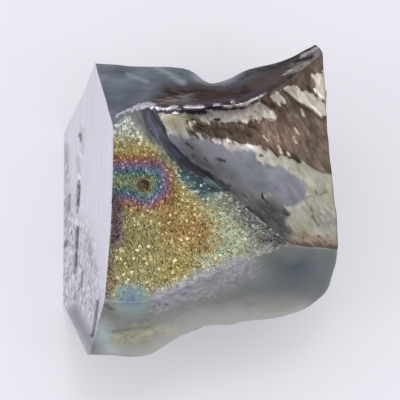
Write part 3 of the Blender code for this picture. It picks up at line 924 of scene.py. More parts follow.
# %% Measure every point against every patch
places = seen(points_of(chunk.data))
for name, patch in PATCHES.items():
    store(chunk.data, name, depth_in(places, **patch))
print(len(PATCHES), "distances at each of", len(places), "points")

# %% [markdown]
# ## Relief
#
# Each kind of broken face has its own low relief. The hollow tore in steps that run down to the
# right, and the hidden sides broke along the flats of large crystals. The relief could be
# sculpted. A rule that turns each place into a height gives the same steps every time, and it can
# be tuned. It fades out towards the sharp edges, which only wander a little. Some patches also
# stand above or below the metal round them.

# %% Steps of the torn hollow
LEDGE_STEP, LEDGE_SPACING, LEDGE_WANDER = 0.10 * MM, 0.62 * MM, 0.55 * MM
LEDGE_RUN = Vector((0.50, -0.87, 0.0))  # down to the right
LEDGE_SIDE = Vector((LEDGE_RUN.y, -LEDGE_RUN.x, 0.0))
LEDGE_DROP = 4  # a ledge drops this many times as steeply as it rises
SLIVER_HEIGHT, SLIVER_LONG, SLIVER_WIDE = 0.014 * MM, 0.42 * MM, 0.10 * MM


def ledges(place):
    """Torn steps along lines that wander, with thin slivers of metal pulled out along them."""
    wander = noise.noise(place / (2 * LEDGE_SPACING)) * LEDGE_WANDER
    phase = (place.dot(LEDGE_SIDE) + wander) / LEDGE_SPACING
    step = phase - math.floor(phase)
    sliver = Vector((place.dot(LEDGE_RUN) / SLIVER_LONG, place.dot(LEDGE_SIDE) / SLIVER_WIDE, 0.0))
    return (LEDGE_STEP * (min(step, LEDGE_DROP * (1 - step)) - 0.5)
            + SLIVER_HEIGHT * noise.noise(sliver))


ledge_height = LEDGE_STEP * LEDGE_DROP / (1 + LEDGE_DROP)
print("ledges:", round(LEDGE_SPACING / MM, 2), "mm apart and", round(ledge_height / MM, 2), "mm high")

# %% Lumps, crystal flats and waves of the other zones
LUMP_HEIGHT, LUMP_SIZE = 0.035 * MM, 0.42 * MM
FACET_SIZE, FACET_STEEPNESS, FACET_SINK = 1.15 * MM, 0.30, 0.10 * MM
FACET_MARGIN = 0.10  # share of a facet's size over which it meets its neighbour
FACET_SEED = 7.3
WAVE_HEIGHT, WAVE_SIZE = 0.030 * MM, 1.30 * MM


def lumps(place):
    """Low swells under the grains."""
    return LUMP_HEIGHT * noise.noise(place / LUMP_SIZE)


def facets(place):
    """Flats of the broken crystals, each a plane that tilts its own way."""
    distances, cells = noise.voronoi(place / FACET_SIZE)
    tilt = noise.cell_vector(cells[0] * FACET_SEED) * 2 - Vector((1, 1, 1))
    inside = min(1.0, (distances[1] - distances[0]) / FACET_MARGIN)
    return FACET_STEEPNESS * inside * tilt.dot(place - cells[0] * FACET_SIZE) - FACET_SINK


def waves(place):
    """Slow waves of the smooth faces."""
    return WAVE_HEIGHT * noise.noise(place / WAVE_SIZE)


RELIEF = {"top": waves, "grain": lumps, "hollow": ledges, "band": waves,
          "under": facets, "back": facets, "end": facets}
print({zone: rule.__name__ for zone, rule in RELIEF.items()})

# %% What the patches add to the relief
RISES = [  # zone, patch, and how far the patch stands out, in millimetres
    ("hollow", "wedge", -0.020), ("hollow", "bars", 0.022), ("hollow", "slivers", 0.012),
    ("hollow", "gashes", -0.014), ("hollow", "riser", -0.020), ("grain", "riser", -0.020),
    ("hollow", "lip", 0.020), ("top", "lip", 0.020), ("saw_cut", "slits", -0.030),
    ("saw_cut", "specks", 0.010),
]
RISE_SOFTNESS = 0.02  # millimetres either side of the patch's edge
CALM = 0.06  # share of the ledges that is left outside the wedge
CALM_SOFTNESS = 0.15


def smooth_step(low, high, value):
    """From 0 at low to 1 at high, gently at both ends."""
    share = np.clip((value - low) / (high - low), 0, 1)
    return share * share * (3 - 2 * share)


def patch_depth(mesh, name):
    """Each point's stored distance to a patch, in millimetres."""
    depth = np.empty(len(mesh.vertices), np.float32)
    mesh.attributes[name].data.foreach_get("value", depth)
    return depth


def point_zone(mesh, zone):
    """True for each point whose faces are all in the zone."""
    totals, corners = corner_counts(mesh)
    other = np.repeat(face_zones(mesh) != ZONES.index(zone), totals)
    return np.bincount(corners, weights=other, minlength=len(mesh.vertices)) == 0


carved = np.zeros(len(chunk.data.vertices))
for zone, patch, rise in RISES:
    share = smooth_step(-RISE_SOFTNESS, RISE_SOFTNESS, patch_depth(chunk.data, patch))
    carved += point_zone(chunk.data, zone) * share * rise * MM
torn = smooth_step(-CALM_SOFTNESS, CALM_SOFTNESS, patch_depth(chunk.data, "wedge"))
strength = np.where(point_zone(chunk.data, "hollow"), CALM + (1 - CALM) * torn, 1.0)
print("patches carve from", round(carved.min() / MM, 3), "to", round(carved.max() / MM, 3), "mm")

# %% Where the relief fades, and what stays flat
FADE_LENGTH = 0.5 * MM  # the relief is at full height this far from a sharp edge
FLATS = {"base": Vector((0.0, 0.0, -1.0)),
         "saw_cut": Vector((-1.0, 0.0, SAW_LEAN)).normalized()}


def border_distances(shaped, meeting):
    """Each point's distance from the nearest point where zones meet."""
    border = [point for point in shaped.verts if len(meeting[point.index]) > 1]
    tree = kdtree.KDTree(len(border))
    for index, point in enumerate(border):
        tree.insert(point.co, index)
    tree.balance()
    return [tree.find(point.co)[2] for point in shaped.verts]


print("kept flat:", list(FLATS))

# %% Raise the relief
WANDER_HEIGHT, WANDER_SIZE = 0.030 * MM, 0.55 * MM  # unevenness of the edges themselves
SEED = 4


def roughened(mesh):
    """Moves each point by its zone's relief, and lets the sharp edges wander."""
    shaped = bmesh.new()
    shaped.from_mesh(mesh)
    shaped.normal_update()
    zone_of = shaped.faces.layers.int["zone"]
    meeting = [{ZONES[face[zone_of]] for face in point.link_faces} for point in shaped.verts]
    distances = border_distances(shaped, meeting)
    moves = []
    for point, zones, distance in zip(shaped.verts, meeting, distances):
        move = noise.noise_vector(point.co / WANDER_SIZE) * WANDER_HEIGHT
        if len(zones) == 1 and not zones & set(FLATS):
            fade = min(1.0, distance / FADE_LENGTH) * strength[point.index]
            move += point.normal * RELIEF[min(zones)](point.co) * fade
        touched = [normal for zone, normal in FLATS.items() if zone in zones]
        for normal in touched:
            move -= normal * move.dot(normal)
        if len(touched) > 1:
            move.zero()
        moves.append(move + point.normal * carved[point.index])
    for point, move in zip(shaped.verts, moves):
        point.co += move
    shaped.to_mesh(mesh)
    shaped.free()


noise.seed_set(SEED)
roughened(chunk.data)
print("relief raised on", len(chunk.data.vertices), "points")

# %% [markdown]
# ## The metal's finishes
#
# One lump of metal shows six finishes, because each face was made in its own way. All of them are
# bare vanadium, so Metallic is 1, the IOR stays at Blender's own value, and the base colour is the
# colour of the reflection, which the oxide film tints.
#
# A finish could be a picture, but a picture has one fineness, and a seam wherever two of them meet.
# So each finish starts from one colour and lays its patches over it, and noise tears their edges.
# The size of every pattern is in millimetres: along the tearing, across it and up, or across, back
# and up where nothing tore. The render shows nothing finer than about 0.03 mm.

# %% Helpers for the finishes
TEAR_TURN = math.atan2(LEDGE_RUN.y, LEDGE_RUN.x)  # direction of the tearing, about the vertical
print("the metal tore along", round(math.degrees(TEAR_TURN)), "degrees")


def bare_metal(name, roughness):
    """A new metal material, with its tree and its shader. A pattern may replace its roughness."""
    material = bpy.data.materials.new(name)
    material.use_nodes = True
    shader = material.node_tree.nodes["Principled BSDF"]
    shader.inputs["Metallic"].default_value = 1.0
    shader.inputs["Roughness"].default_value = roughness
    return material, material.node_tree, shader


def counted(tree, size, turn=0.0):
    """The object's own coordinates, turned, and counted in steps of this size in millimetres."""
    place = add(tree, "ShaderNodeTexCoord").outputs["Object"]
    return add(tree, "ShaderNodeMapping", {
        "Vector": place, "Rotation": (0.0, 0.0, turn), "Scale": [side * MM for side in size],
    }, vector_type="TEXTURE").outputs["Vector"]


def pattern(tree, size, turn=0.0, detail=3.0, roughness=0.6):
    """Noise from 0 to 1 whose patches have this size in millimetres."""
    return add(tree, "ShaderNodeTexNoise", {
        "Vector": counted(tree, size, turn), "Scale": 1.0, "Detail": detail,
        "Roughness": roughness,
    }).outputs["Fac"]


# %% Helpers that lay patches over a finish, and keep it for its zones
FINISHES = {}
NOISE_LOW, NOISE_HIGH = 0.25, 0.75  # nearly all of a noise lies between these


def patch_mask(tree, name, softness, tearing=None, tear=0.0):
    """A patch's mask from 0 to 1. Tearing is a noise that moves its edge by up to tear mm."""
    depth = add(tree, "ShaderNodeAttribute", attribute_name=name).outputs["Fac"]
    if tearing is not None:
        moved = add(tree, "ShaderNodeMapRange", {
            "Value": tearing, "From Min": NOISE_LOW, "From Max": NOISE_HIGH,
            "To Min": -tear, "To Max": tear,
        }).outputs["Result"]
        depth = add(tree, "ShaderNodeMath", {0: depth, 1: moved}, operation="ADD").outputs[0]
    return add(tree, "ShaderNodeMapRange", {
        "Value": depth, "From Min": -softness, "From Max": softness,
    }).outputs["Result"]


def coat(tree, shader, layers, height=None, rise=0.0):
    """Lays colours one over another, gives the last to the shader, and raises its surface.

    A layer is where it lies and its colour. It lies on a patch, given as patch_mask wants it, or
    under a mask, or everywhere if that is None. The colour is a hex value, a socket, or a noise
    and the colours that it turns into. The height is a noise, and its rise is in mm.
    """
    laid = None
    for *where, colour in layers:
        mask = patch_mask(tree, *where) if isinstance(where[0], str) else where[0]
        if isinstance(colour, str):
            colour = linear(colour)
        elif isinstance(colour, tuple):
            value, stops = colour
            colour = add(tree, "ShaderNodeValToRGB", {"Fac": value}, stops).outputs["Color"]
        laid = colour if mask is None else add(
            tree, "ShaderNodeMix", {0: mask, 6: laid, 7: colour}, data_type="RGBA").outputs[2]
    tree.links.new(laid, shader.inputs["Base Color"])
    if height is not None:
        raised = add(tree, "ShaderNodeBump", {"Height": height, "Distance": rise * MM})
        tree.links.new(raised.outputs["Normal"], shader.inputs["Normal"])


def keep(finish, *zones):
    """Gives these zones a finish that is ready."""
    FINISHES.update(dict.fromkeys(zones, finish))
    print(finish.name, "has", len(finish.node_tree.nodes), "nodes and is for", *zones)


# %% Layers that cross from one finish to the next
# The lip's colours are a painted highlight, and the one under it is painted shade.
LIP_HIGHLIGHT = [(0.35, "#b3aeb8"), (0.5, "#cfcad3"), (0.62, "#e0dce4")]
UNDER_LIP_SHADE = "#453b4e"
# The riser's dark greys are painted shade on the step down to the hollow, with tints in that shade.
RISER_SHADE = [(0.3, "#303237"), (0.5, "#414348"), (0.7, "#57595e")]
RISER_SHADE_TINTS = {"riser_line": "#57556a", "riser_blue": "#3e3f66", "riser_low": "#2f2f34",
               "riser_end": "#5f6c72"}
CRUMBS = (0.11, 0.08, 0.10)  # the finest crumbs, coarser than the real ones so that they show


def lip_highlight_and_shade_layers(crumbs, gap_softness=0.02):
    """The lip's painted highlight and the painted shade under it, which three finishes share."""
    return [("under_lip", gap_softness, crumbs, 0.05, UNDER_LIP_SHADE),
            ("lip", 0.02, crumbs, 0.05, (crumbs, LIP_HIGHLIGHT))]


def riser_shade_layers(streaks, crumbs):
    """The riser's painted shade and its tints, which two finishes share."""
    looks = {"riser": (streaks, RISER_SHADE)} | RISER_SHADE_TINTS
    return [(name, 0.05, crumbs, 0.05, look) for name, look in looks.items()]


print("the riser has", len(RISER_SHADE_TINTS), "tints beside its greys")

# %% [markdown]
# ### Torn vanadium
#
# The hollow tore open when the chunk was broken. Its bright and brown patches are partly clean
# metal and brown oxide, and partly painted reflections of brighter and darker parts of the room in
# its torn facets. Noise of several sizes makes it, because torn metal is rough at every size.
# Ragged flakes, cells that noise breaks up, give each step of the tearing its own value. The
# surface scatters what it mirrors, so its roughness is 0.40 and it has no clear highlight.

# %% Torn vanadium: its patterns
finish, tree, shader = bare_metal("torn_vanadium", 0.40)
clouds = pattern(tree, (0.9, 0.9, 0.9))  # shades about as wide as the smooth middle
streaks = pattern(tree, (0.8, 0.18, 0.6), TEAR_TURN)  # scratches about as long as a ledge
crumbs = pattern(tree, CRUMBS, TEAR_TURN)
mottle = pattern(tree, (0.46, 0.22, 0.40), TEAR_TURN, detail=5.0)  # stains of oxide
FLAKE = (0.24, 0.10, 0.20)
cells = add(tree, "ShaderNodeTexVoronoi", {
    "Vector": counted(tree, FLAKE, TEAR_TURN), "Scale": 1.0})
flake = add(tree, "ShaderNodeSeparateXYZ", {"Vector": cells.outputs["Color"]}).outputs["X"]
ragged = pattern(tree, (0.20, 0.08, 0.16), TEAR_TURN, detail=5.0, roughness=0.7)
RAGGED_SHARE = 0.66  # the rest is whole flakes
torn = add(tree, "ShaderNodeMix", {0: RAGGED_SHARE, 2: flake, 3: ragged}).outputs[0]
height = add(tree, "ShaderNodeMath", {0: torn, 1: crumbs}, operation="ADD").outputs[0]
print("flakes of", FLAKE, "mm and crumbs of", CRUMBS, "mm")

# %% Torn vanadium: its layers
coat(tree, shader, [
    # The metal itself, with painted shade that darkens it towards the right.
    (None, (mottle, [(0.3, "#a5a190"), (0.45, "#bab5a7"), (0.6, "#c8c2b7"), (0.7, "#d3ccc4")])),
    ("right_dim", 0.25, torn, 0.20,
     (mottle, [(0.3, "#8a8979"), (0.5, "#a29f8f"), (0.7, "#b8b3a3")])),
    ("olive_metal", 0.14, torn, 0.10, (mottle, [(0.3, "#96927a"), (0.7, "#b3ad91")])),
    ("rosy_edge", 0.05, torn, 0.07, (torn, [(0.3, "#c1b7b1"), (0.5, "#d6ccc8"), (0.7, "#e4dbd7")])),
    # The smooth middle, and the dark slope under it.
    ("smooth", 0.05, torn, 0.07, (clouds, [(0.3, "#74777a"), (0.5, "#878a90"), (0.7, "#93909b")])),
    ("smooth_lit", 0.12, torn, 0.10, (streaks, [(0.35, "#72717c"), (0.65, "#8c8a96")])),
    ("slope", 0.08, torn, 0.14, (torn, [(0.25, "#636564"), (0.5, "#7e7f7e"), (0.75, "#9b9c9a")])),
    ("slope_dark", 0.10, torn, 0.16,
     (torn, [(0.25, "#484948"), (0.5, "#5c5d5a"), (0.75, "#7b7c77")])),
    ("slope_line", 0.03, torn, 0.06, "#3d3c41"),
    ("dents", 0.02, crumbs, 0.05, "#4c4d52"),
    # The bright shape at the right edge, and the grey metal beside it.
    ("cream", 0.04, torn, 0.08, (mottle, [(0.3, "#9b9886"), (0.5, "#aca897"), (0.7, "#bab5a6")])),
    ("right_grey", 0.10, torn, 0.16,
     (torn, [(0.3, "#7f7d79"), (0.5, "#98958f"), (0.7, "#b9b5ad")])),
    ("notches", 0.02, crumbs, 0.03, "#76726a"),
    # The brown wedge, with bars, gashes and slivers of metal.
    ("wedge", 0.015, torn, 0.045,
     (mottle, [(0.3, "#51443a"), (0.45, "#64554a"), (0.6, "#77695e"), (0.7, "#897c71")])),
    ("wedge_dark", 0.08, torn, 0.14,
     (torn, [(0.2, "#352d25"), (0.5, "#544940"), (0.8, "#75655a")])),
    ("wedge_warm", 0.16, torn, 0.20,
     (crumbs, [(0.3, "#67564a"), (0.5, "#7e6a5c"), (0.7, "#957f70")])),
    ("bars", 0.015, torn, 0.06, (torn, [(0.3, "#b2aa9d"), (0.5, "#c9c2b5"), (0.7, "#d8d2c8")])),
    ("gashes", 0.03, torn, 0.04, "#463b31"),
    ("slivers", 0.02, crumbs, 0.03, "#bcb2a2"),
    # The rusty corner, and what crosses to the next finish.
    ("rust", 0.05, torn, 0.08, (mottle, [(0.3, "#87786a"), (0.5, "#9f917f"), (0.7, "#b8ad9d")])),
    ("rust_edge", 0.05, torn, 0.08, "#695b50"),
    ("rust_spots", 0.02, crumbs, 0.03, "#6b5a4c"),
    *riser_shade_layers(streaks, crumbs),
    *lip_highlight_and_shade_layers(crumbs),
], height, rise=0.005)
keep(finish, "hollow")

# %% [markdown]
# ### Oxide-coloured grains
#
# The grainy face broke between its crystals, and each one is a small flat mirror under a film of
# oxide. The film's colour follows its thickness, so one ramp holds all its colours in order: bare
# metal, straw, gold, red, violet, blue, green, brown. The thickness comes from an attribute that is
# made further down, once there are grains. A few grains get a painted glint, as if they faced the
# light, and a second and paler ramp gives their colours. The facets are flat, so the roughness
# is lower than in the hollow, but not low: real facets have steps of their own that are too fine
# to show.

# %% Oxide-coloured grains: the colours of the film
FILM = [(0.00, "#c2c0b4"), (0.10, "#bdb994"), (0.22, "#b0a369"), (0.32, "#ac8d5d"),
        (0.40, "#9c7659"), (0.45, "#956b63"), (0.50, "#907288"), (0.56, "#717189"),
        (0.63, "#617886"), (0.70, "#628278"), (0.80, "#788e71"), (0.90, "#8c8c6e"),
        (1.00, "#4f4031")]
PAINTED_GLINTS = [(0.0, "#ffffff"), (0.2, "#fdf6d0"), (0.4, "#f4d3a6"), (0.5, "#c09aa8"), (0.6, "#93a5bd"),
          (0.75, "#d6f6ea"), (0.9, "#a8a472"), (1.0, "#7d6c4c")]
GLINT_FROM, GLINT_SHARE = 0.90, 0.85  # grains of a tone above this glint, up to this share
print(len(FILM), "colours of the film,", len(PAINTED_GLINTS), "of its glints")

# %% Oxide-coloured grains: their patterns
finish, tree, shader = bare_metal("oxide_coloured_grains", 0.28)
film = add(tree, "ShaderNodeAttribute", attribute_name="film").outputs["Fac"]
tone = add(tree, "ShaderNodeAttribute", attribute_name="grain_tone").outputs["Fac"]
flecks = pattern(tree, (0.20, 0.20, 0.20))  # about three grains wide
streaks = pattern(tree, (0.9, 0.14, 0.6), TEAR_TURN)  # scratches along the bevel and the riser
crumbs = pattern(tree, CRUMBS, TEAR_TURN)
tinted = add(tree, "ShaderNodeValToRGB", {"Fac": film}, FILM).outputs["Color"]
shade = add(tree, "ShaderNodeValToRGB", {"Fac": tone},
            [(0.0, "#c6c6c6"), (0.35, "#d8d8d8"), (0.75, "#ebebeb"), (1.0, "#f8f8f8")])
shaded = add(tree, "ShaderNodeMix", {0: 1.0, 6: tinted, 7: shade.outputs["Color"]},
             data_type="RGBA", blend_type="MULTIPLY").outputs[2]
# The grains of the highest tone get a painted glint.
glint = add(tree, "ShaderNodeMapRange", {
    "Value": tone, "From Min": GLINT_FROM, "From Max": 1.0, "To Max": GLINT_SHARE,
}).outputs["Result"]
print("one grain in", round(1 / (1 - GLINT_FROM)), "glints")

# %% Oxide-coloured grains: their layers
coat(tree, shader, [
    (None, shaded),
    ("sparkle", 0.35, flecks, 0.40,
     (film, [(0.0, "#b7baa4"), (0.4, "#b0b08e"), (0.62, "#99ab9d"), (0.80, "#94a78e")])),
    ("olive", 0.30, tone, 0.35, (tone, [(0.0, "#756e49"), (0.5, "#8b835b"), (1.0, "#a0996f")])),
    ("teal", 0.12, tone, 0.12, (tone, [(0.0, "#2a383b"), (0.75, "#425356"), (0.88, "#8fa5a0")])),
    ("pale_top", 0.20, tone, 0.20, (tone, [(0.0, "#8b8d84"), (1.0, "#d2d4cc")])),
    (glint, (film, PAINTED_GLINTS)),
    ("foot", 0.16, tone, 0.16, (tone, [(0.0, "#535552"), (0.8, "#838681"), (0.96, "#b5bcb5")])),
    ("foot_red", 0.08, tone, 0.05, "#795f61"),
    ("hem", 0.12, flecks, 0.10, (tone, [(0.0, "#83837d"), (1.0, "#a8a8a1")])),
    ("band_edge", 0.12, flecks, 0.12, (tone, [(0.0, "#85828a"), (1.0, "#a8a5ac")])),
    ("pool", 0.12, flecks, 0.08, (tone, [(0.0, "#728178"), (1.0, "#86958b")])),
    ("pool_ring", 0.10, flecks, 0.06, (tone, [(0.0, "#6a7d87"), (1.0, "#798c95")])),
    ("pool_middle", 0.06, flecks, 0.05, "#5f727f"),
    ("bevel", 0.06, streaks, 0.04,
     (streaks, [(0.3, "#50534f"), (0.5, "#5e615f"), (0.7, "#6f7372")])),
    ("bevel_top", 0.24, streaks, 0.10,
     (streaks, [(0.3, "#6b706d"), (0.5, "#7a7f7b"), (0.7, "#8d918e")])),
    ("bevel_low", 0.10, tone, 0.16, (tone, [(0.2, "#66664f"), (0.9, "#9a9a7a")])),
    *riser_shade_layers(streaks, crumbs),
    ("cut_edge", 0.15, flecks, 0.12, (flecks, [(0.3, "#483d42"), (0.7, "#6a5c61")])),
    ("cut_red", 0.10, flecks, 0.05, "#8d6f62"),
    *lip_highlight_and_shade_layers(crumbs, 0.03),
])
# The smooth metal between the grains is rougher than a grain's facet.
SMOOTH_ROUGHNESS, FACET_ROUGHNESS = 0.46, 0.33
amount = add(tree, "ShaderNodeAttribute", attribute_name="grain_amount").outputs["Fac"]
roughness = add(tree, "ShaderNodeMapRange", {
    "Value": amount, "To Min": SMOOTH_ROUGHNESS, "To Max": FACET_ROUGHNESS,
})
tree.links.new(roughness.outputs["Result"], shader.inputs["Roughness"])
keep(finish, "grain")

# %% [markdown]
# ### Darkened vanadium
#
# The top face looks like the oldest break. It is slate at the left and brown-grey over the rest,
# partly oxide, as if thicker than elsewhere, and partly painted reflection of the room's darker
# horizon, which it faces. Its pale hollow, its light streaks and the lit end of its arm are painted
# reflections and highlights. Such oxide is dull and uneven, so it mirrors the room softly, and a
# tint takes the blue out of what it mirrors at a low angle. Wide clouds give its shades, and flecks
# as long as its scratches tear its edges and raise its surface.

# %% Darkened vanadium
EDGE_TINT = "#c0bab6"
finish, tree, shader = bare_metal("darkened_vanadium", 0.36)
shader.inputs["Specular Tint"].default_value = linear(EDGE_TINT)
clouds = pattern(tree, (1.2, 0.7, 0.7))
flecks = pattern(tree, (0.30, 0.12, 0.2))
crumbs = pattern(tree, CRUMBS, TEAR_TURN)
coat(tree, shader, [
    (None, (clouds, [(0.3, "#68717b"), (0.5, "#7c858f"), (0.7, "#949ca3")])),
    ("top_dark", 0.20, clouds, 0.15,
     (flecks, [(0.3, "#3b3331"), (0.5, "#473e3c"), (0.7, "#584e4c")])),
    ("top_arm", 0.20, flecks, 0.10, "#6a615f"),
    ("top_violet", 0.05, flecks, 0.05, "#5f5867"),
    ("top_lit", 0.14, flecks, 0.14,
     (flecks, [(0.3, "#6d6665"), (0.5, "#8f8987"), (0.7, "#b3aeaa")])),
    ("top_seam", 0.10, flecks, 0.08, "#333033"),
    ("top_pale", 0.12, clouds, 0.12, "#b4b5be"),
    ("top_streak", 0.06, flecks, 0.05, "#a2a9b1"),
    ("arm_dark", 0.03, flecks, 0.05, "#37353a"),
    ("arm_bright", 0.025, flecks, 0.04, "#c4c1bf"),
    *lip_highlight_and_shade_layers(crumbs),
], flecks, rise=0.006)
keep(finish, "top")

# %% [markdown]
# ### Satin oxide
#
# The band split off smoothly along the lower edge, and a thin even film covers it. It looks like
# satin: soft wide highlights with no grain. Its colours change slowly, so most of its patches have
# very soft edges, and only where the grains end is the edge torn. Its clouds are about as wide as
# the band, and its flecks are the size of a few grains.

# %% Satin oxide
finish, tree, shader = bare_metal("satin_oxide", 0.36)
clouds = pattern(tree, (1.6, 0.8, 0.8))
flecks = pattern(tree, (0.16, 0.10, 0.10))
rough = pattern(tree, (0.16, 0.11, 0.11), math.radians(20), detail=6.0, roughness=0.75)
coat(tree, shader, [
    (None, (clouds, [(0.3, "#818480"), (0.5, "#91928c"), (0.7, "#a2a197")])),
    ("band_dusk", 0.50, clouds, 0.1, "#7e8384"),
    ("band_slate", 0.50, clouds, 0.1, "#565f69"),
    ("band_low", 0.30, clouds, 0.1, "#b1b0a9"),
    ("band_edge", 0.20, rough, 0.24,
     (rough, [(0.38, "#8d8a92"), (0.5, "#a09da5"), (0.6, "#b1aeb5")])),
    ("band_cyan", 0.20, flecks, 0.08, "#b3bfc0"),
    ("band_yellow", 0.18, flecks, 0.12, (flecks, [(0.3, "#a4a389"), (0.7, "#c5c2a4")])),
    ("band_corner", 0.25, "#73797b"),
    ("pool", 0.16, flecks, 0.08, "#95a5a0"),
    ("pool_ring", 0.12, flecks, 0.06, "#8598a6"),
    ("band_spots", 0.04, rough, 0.06, "#6a656d"),
    ("band_line", 0.03, flecks, 0.04, "#7f7a68"),
], flecks, rise=0.004)
keep(finish, "band")

# %% [markdown]
# ### Sawn vanadium
#
# The saw left a flat face of clean metal, bright because it has hardly any oxide on it, with marks
# along the blade's stroke. The lower half is rougher, as if the blade tore more than it cut, with
# pits of about 0.15 mm. A fine blade leaves marks a few hundredths of a millimetre apart. The
# finest of them are too fine to show, so all are drawn 0.05 mm apart.

# %% Sawn vanadium
finish, tree, shader = bare_metal("sawn_vanadium", 0.38)
marks = pattern(tree, (0.05, 1.6, 0.05), detail=4.0)
wear = pattern(tree, (0.11, 0.17, 0.14), detail=4.0)
coat(tree, shader, [
    (None, (marks, [(0.3, "#d6d5dd"), (0.5, "#e3e2e9"), (0.7, "#edecf2")])),
    ("rough_cut", 0.25, wear, 0.25,
     (wear, [(0.34, "#85838d"), (0.44, "#bbb9c1"), (0.55, "#d8d7dd"), (0.67, "#fcfbfe")])),
    ("smudges", 0.06, wear, 0.12, (wear, [(0.38, "#83828c"), (0.5, "#a9a8b1"), (0.6, "#e6e5ea")])),
    ("cut_foot", 0.12, wear, 0.12, "#8c9095"),
    ("slits", 0.03, wear, 0.04, "#4f4c55"),
    ("specks", 0.02, wear, 0.03, "#fbfafd"),
], marks, rise=0.004)
keep(finish, "saw_cut")

# %% [markdown]
# ### Broken vanadium
#
# The other faces are hidden from the front. They are taken to be plain breaks through large
# crystals, each of which leaves a flat with its own tilt. Flats of mesh would need a great many
# faces on sides that are seldom looked at, so the material tilts them: each cell of a Voronoi
# pattern is a small plane, and a Bump node turns its height into a lean. Some flats are glossier
# than others, and a few have a little straw-coloured oxide.

# %% Cells that lean, each its own way
def tilted_cells(tree, cells, place):
    """Height of a cell as a plane through its middle, and the random lean of that plane."""
    lean = add(tree, "ShaderNodeVectorMath", {
        0: cells["Color"], 1: (2.0, 2.0, 2.0), 2: (-1.0, -1.0, -1.0),
    }, operation="MULTIPLY_ADD").outputs[0]
    from_middle = add(tree, "ShaderNodeVectorMath", {0: place, 1: cells["Position"]},
                      operation="SUBTRACT").outputs[0]
    slope = add(tree, "ShaderNodeVectorMath", {0: from_middle, 1: lean},
                operation="DOT_PRODUCT").outputs["Value"]
    return slope, lean


# %% Broken vanadium
CRYSTAL_SIZE, CRYSTAL_TILT = 0.34, 0.34  # millimetres, and steepness
VALUE_WEIGHT = 0.22  # how much a flat's own value counts beside the clouds, when some turn gilt
GILT_FROM, GILT_TO, GILT_SHARE = 0.52, 0.82, 0.45  # where gilt starts, is full, and how much shows
GLOSSIEST, DULLEST = 0.18, 0.40
finish, tree, shader = bare_metal("broken_vanadium", 0.30)
clouds = pattern(tree, (1.6, 1.6, 1.6))
place = counted(tree, (CRYSTAL_SIZE, CRYSTAL_SIZE, CRYSTAL_SIZE))
crystals = add(tree, "ShaderNodeTexVoronoi", {"Vector": place, "Scale": 1.0}).outputs
slope, _ = tilted_cells(tree, crystals, place)
value = add(tree, "ShaderNodeSeparateXYZ", {"Vector": crystals["Color"]}).outputs["Y"]
scattered = add(tree, "ShaderNodeMath", {0: value, 1: VALUE_WEIGHT, 2: clouds},
                operation="MULTIPLY_ADD").outputs[0]
gilt = add(tree, "ShaderNodeMapRange", {
    "Value": scattered, "From Min": GILT_FROM, "From Max": GILT_TO, "To Max": GILT_SHARE,
}).outputs["Result"]
coat(tree, shader, [
    (None, (value, [(0.0, "#979a9d"), (1.0, "#a9a9a8")])),
    (gilt, (value, [(0.0, "#9c9784"), (1.0, "#b3ab92")])),
], slope, rise=CRYSTAL_TILT * CRYSTAL_SIZE)
gloss = add(tree, "ShaderNodeMapRange", {"Value": value, "To Min": GLOSSIEST, "To Max": DULLEST})
tree.links.new(gloss.outputs["Result"], shader.inputs["Roughness"])
keep(finish, "under", "back", "end", "base")

# %% [markdown]
# ### Each zone gets its finish
#
# On the real chunk a finish ends where one break meets the next, at a sharp edge. Each face knows
# its zone, so the zone's number picks its material. Two finishes could be blended over such an
# edge, but that is only needed for the lip, the riser and the pool, whose patches lie on both.

# %% Give each zone its finish
finishes = list(dict.fromkeys(FINISHES[zone] for zone in ZONES))
chunk.data.materials.clear()
for finish in finishes:
    chunk.data.materials.append(finish)
numbers = np.array([finishes.index(FINISHES[zone]) for zone in ZONES])
chunk.data.polygons.foreach_set("material_index", numbers[face_zones(chunk.data)])
chunk.data.shade_smooth()
print([finish.name for finish in finishes])

# %% [markdown]
# ## Grains
#
# The grainy face broke between its crystals, so it is covered with small flat facets that glint one
# by one. Thousands of them repeat, so Geometry Nodes make them. A Voronoi pattern cuts the face
# into cells, and each cell tilts its own way and stands a little higher or lower than the next. The
# mesh stays one closed skin, which separate crystals stuck on it would not. The grains are 0.07 mm
# wide, about the finest that still show one by one.

# %% Steps of the grains' node tree
def loosened(tree, given, amount):
    """The skin with its points off their tidy rows, so that no grain shows them."""
    loose = add(tree, "FunctionNodeRandomValue", {
        0: (-1.0, -1.0, -1.0), 1: (1.0, 1.0, 1.0), "Seed": given["Seed"],
    }, data_type="FLOAT_VECTOR").outputs[0]
    reach = add(tree, "ShaderNodeMath", {0: amount, 1: given["Jitter"]},
                operation="MULTIPLY").outputs[0]
    stray = add(tree, "ShaderNodeVectorMath", {0: loose, "Scale": reach},
                operation="SCALE").outputs[0]
    return add(tree, "GeometryNodeSetPosition",
               {"Geometry": given["Geometry"], "Offset": stray}).outputs["Geometry"]


def grain_rise(tree, given, amount, cells, place):
    """How far each point moves out, when each cell is a small plane with its own height."""
    slope, lean = tilted_cells(tree, cells, place)
    tilted = add(tree, "ShaderNodeMath", {0: slope, 1: given["Tilt"]},
                 operation="MULTIPLY").outputs[0]
    level = add(tree, "ShaderNodeSeparateXYZ", {"Vector": lean}).outputs["X"]
    height = add(tree, "ShaderNodeMath", {0: level, 1: given["Step"], 2: tilted},
                 operation="MULTIPLY_ADD").outputs[0]
    raised = add(tree, "ShaderNodeMath", {0: height, 1: amount}, operation="MULTIPLY").outputs[0]
    normal = add(tree, "GeometryNodeInputNormal").outputs["Normal"]
    return add(tree, "ShaderNodeVectorMath", {0: normal, "Scale": raised},
               operation="SCALE").outputs[0]


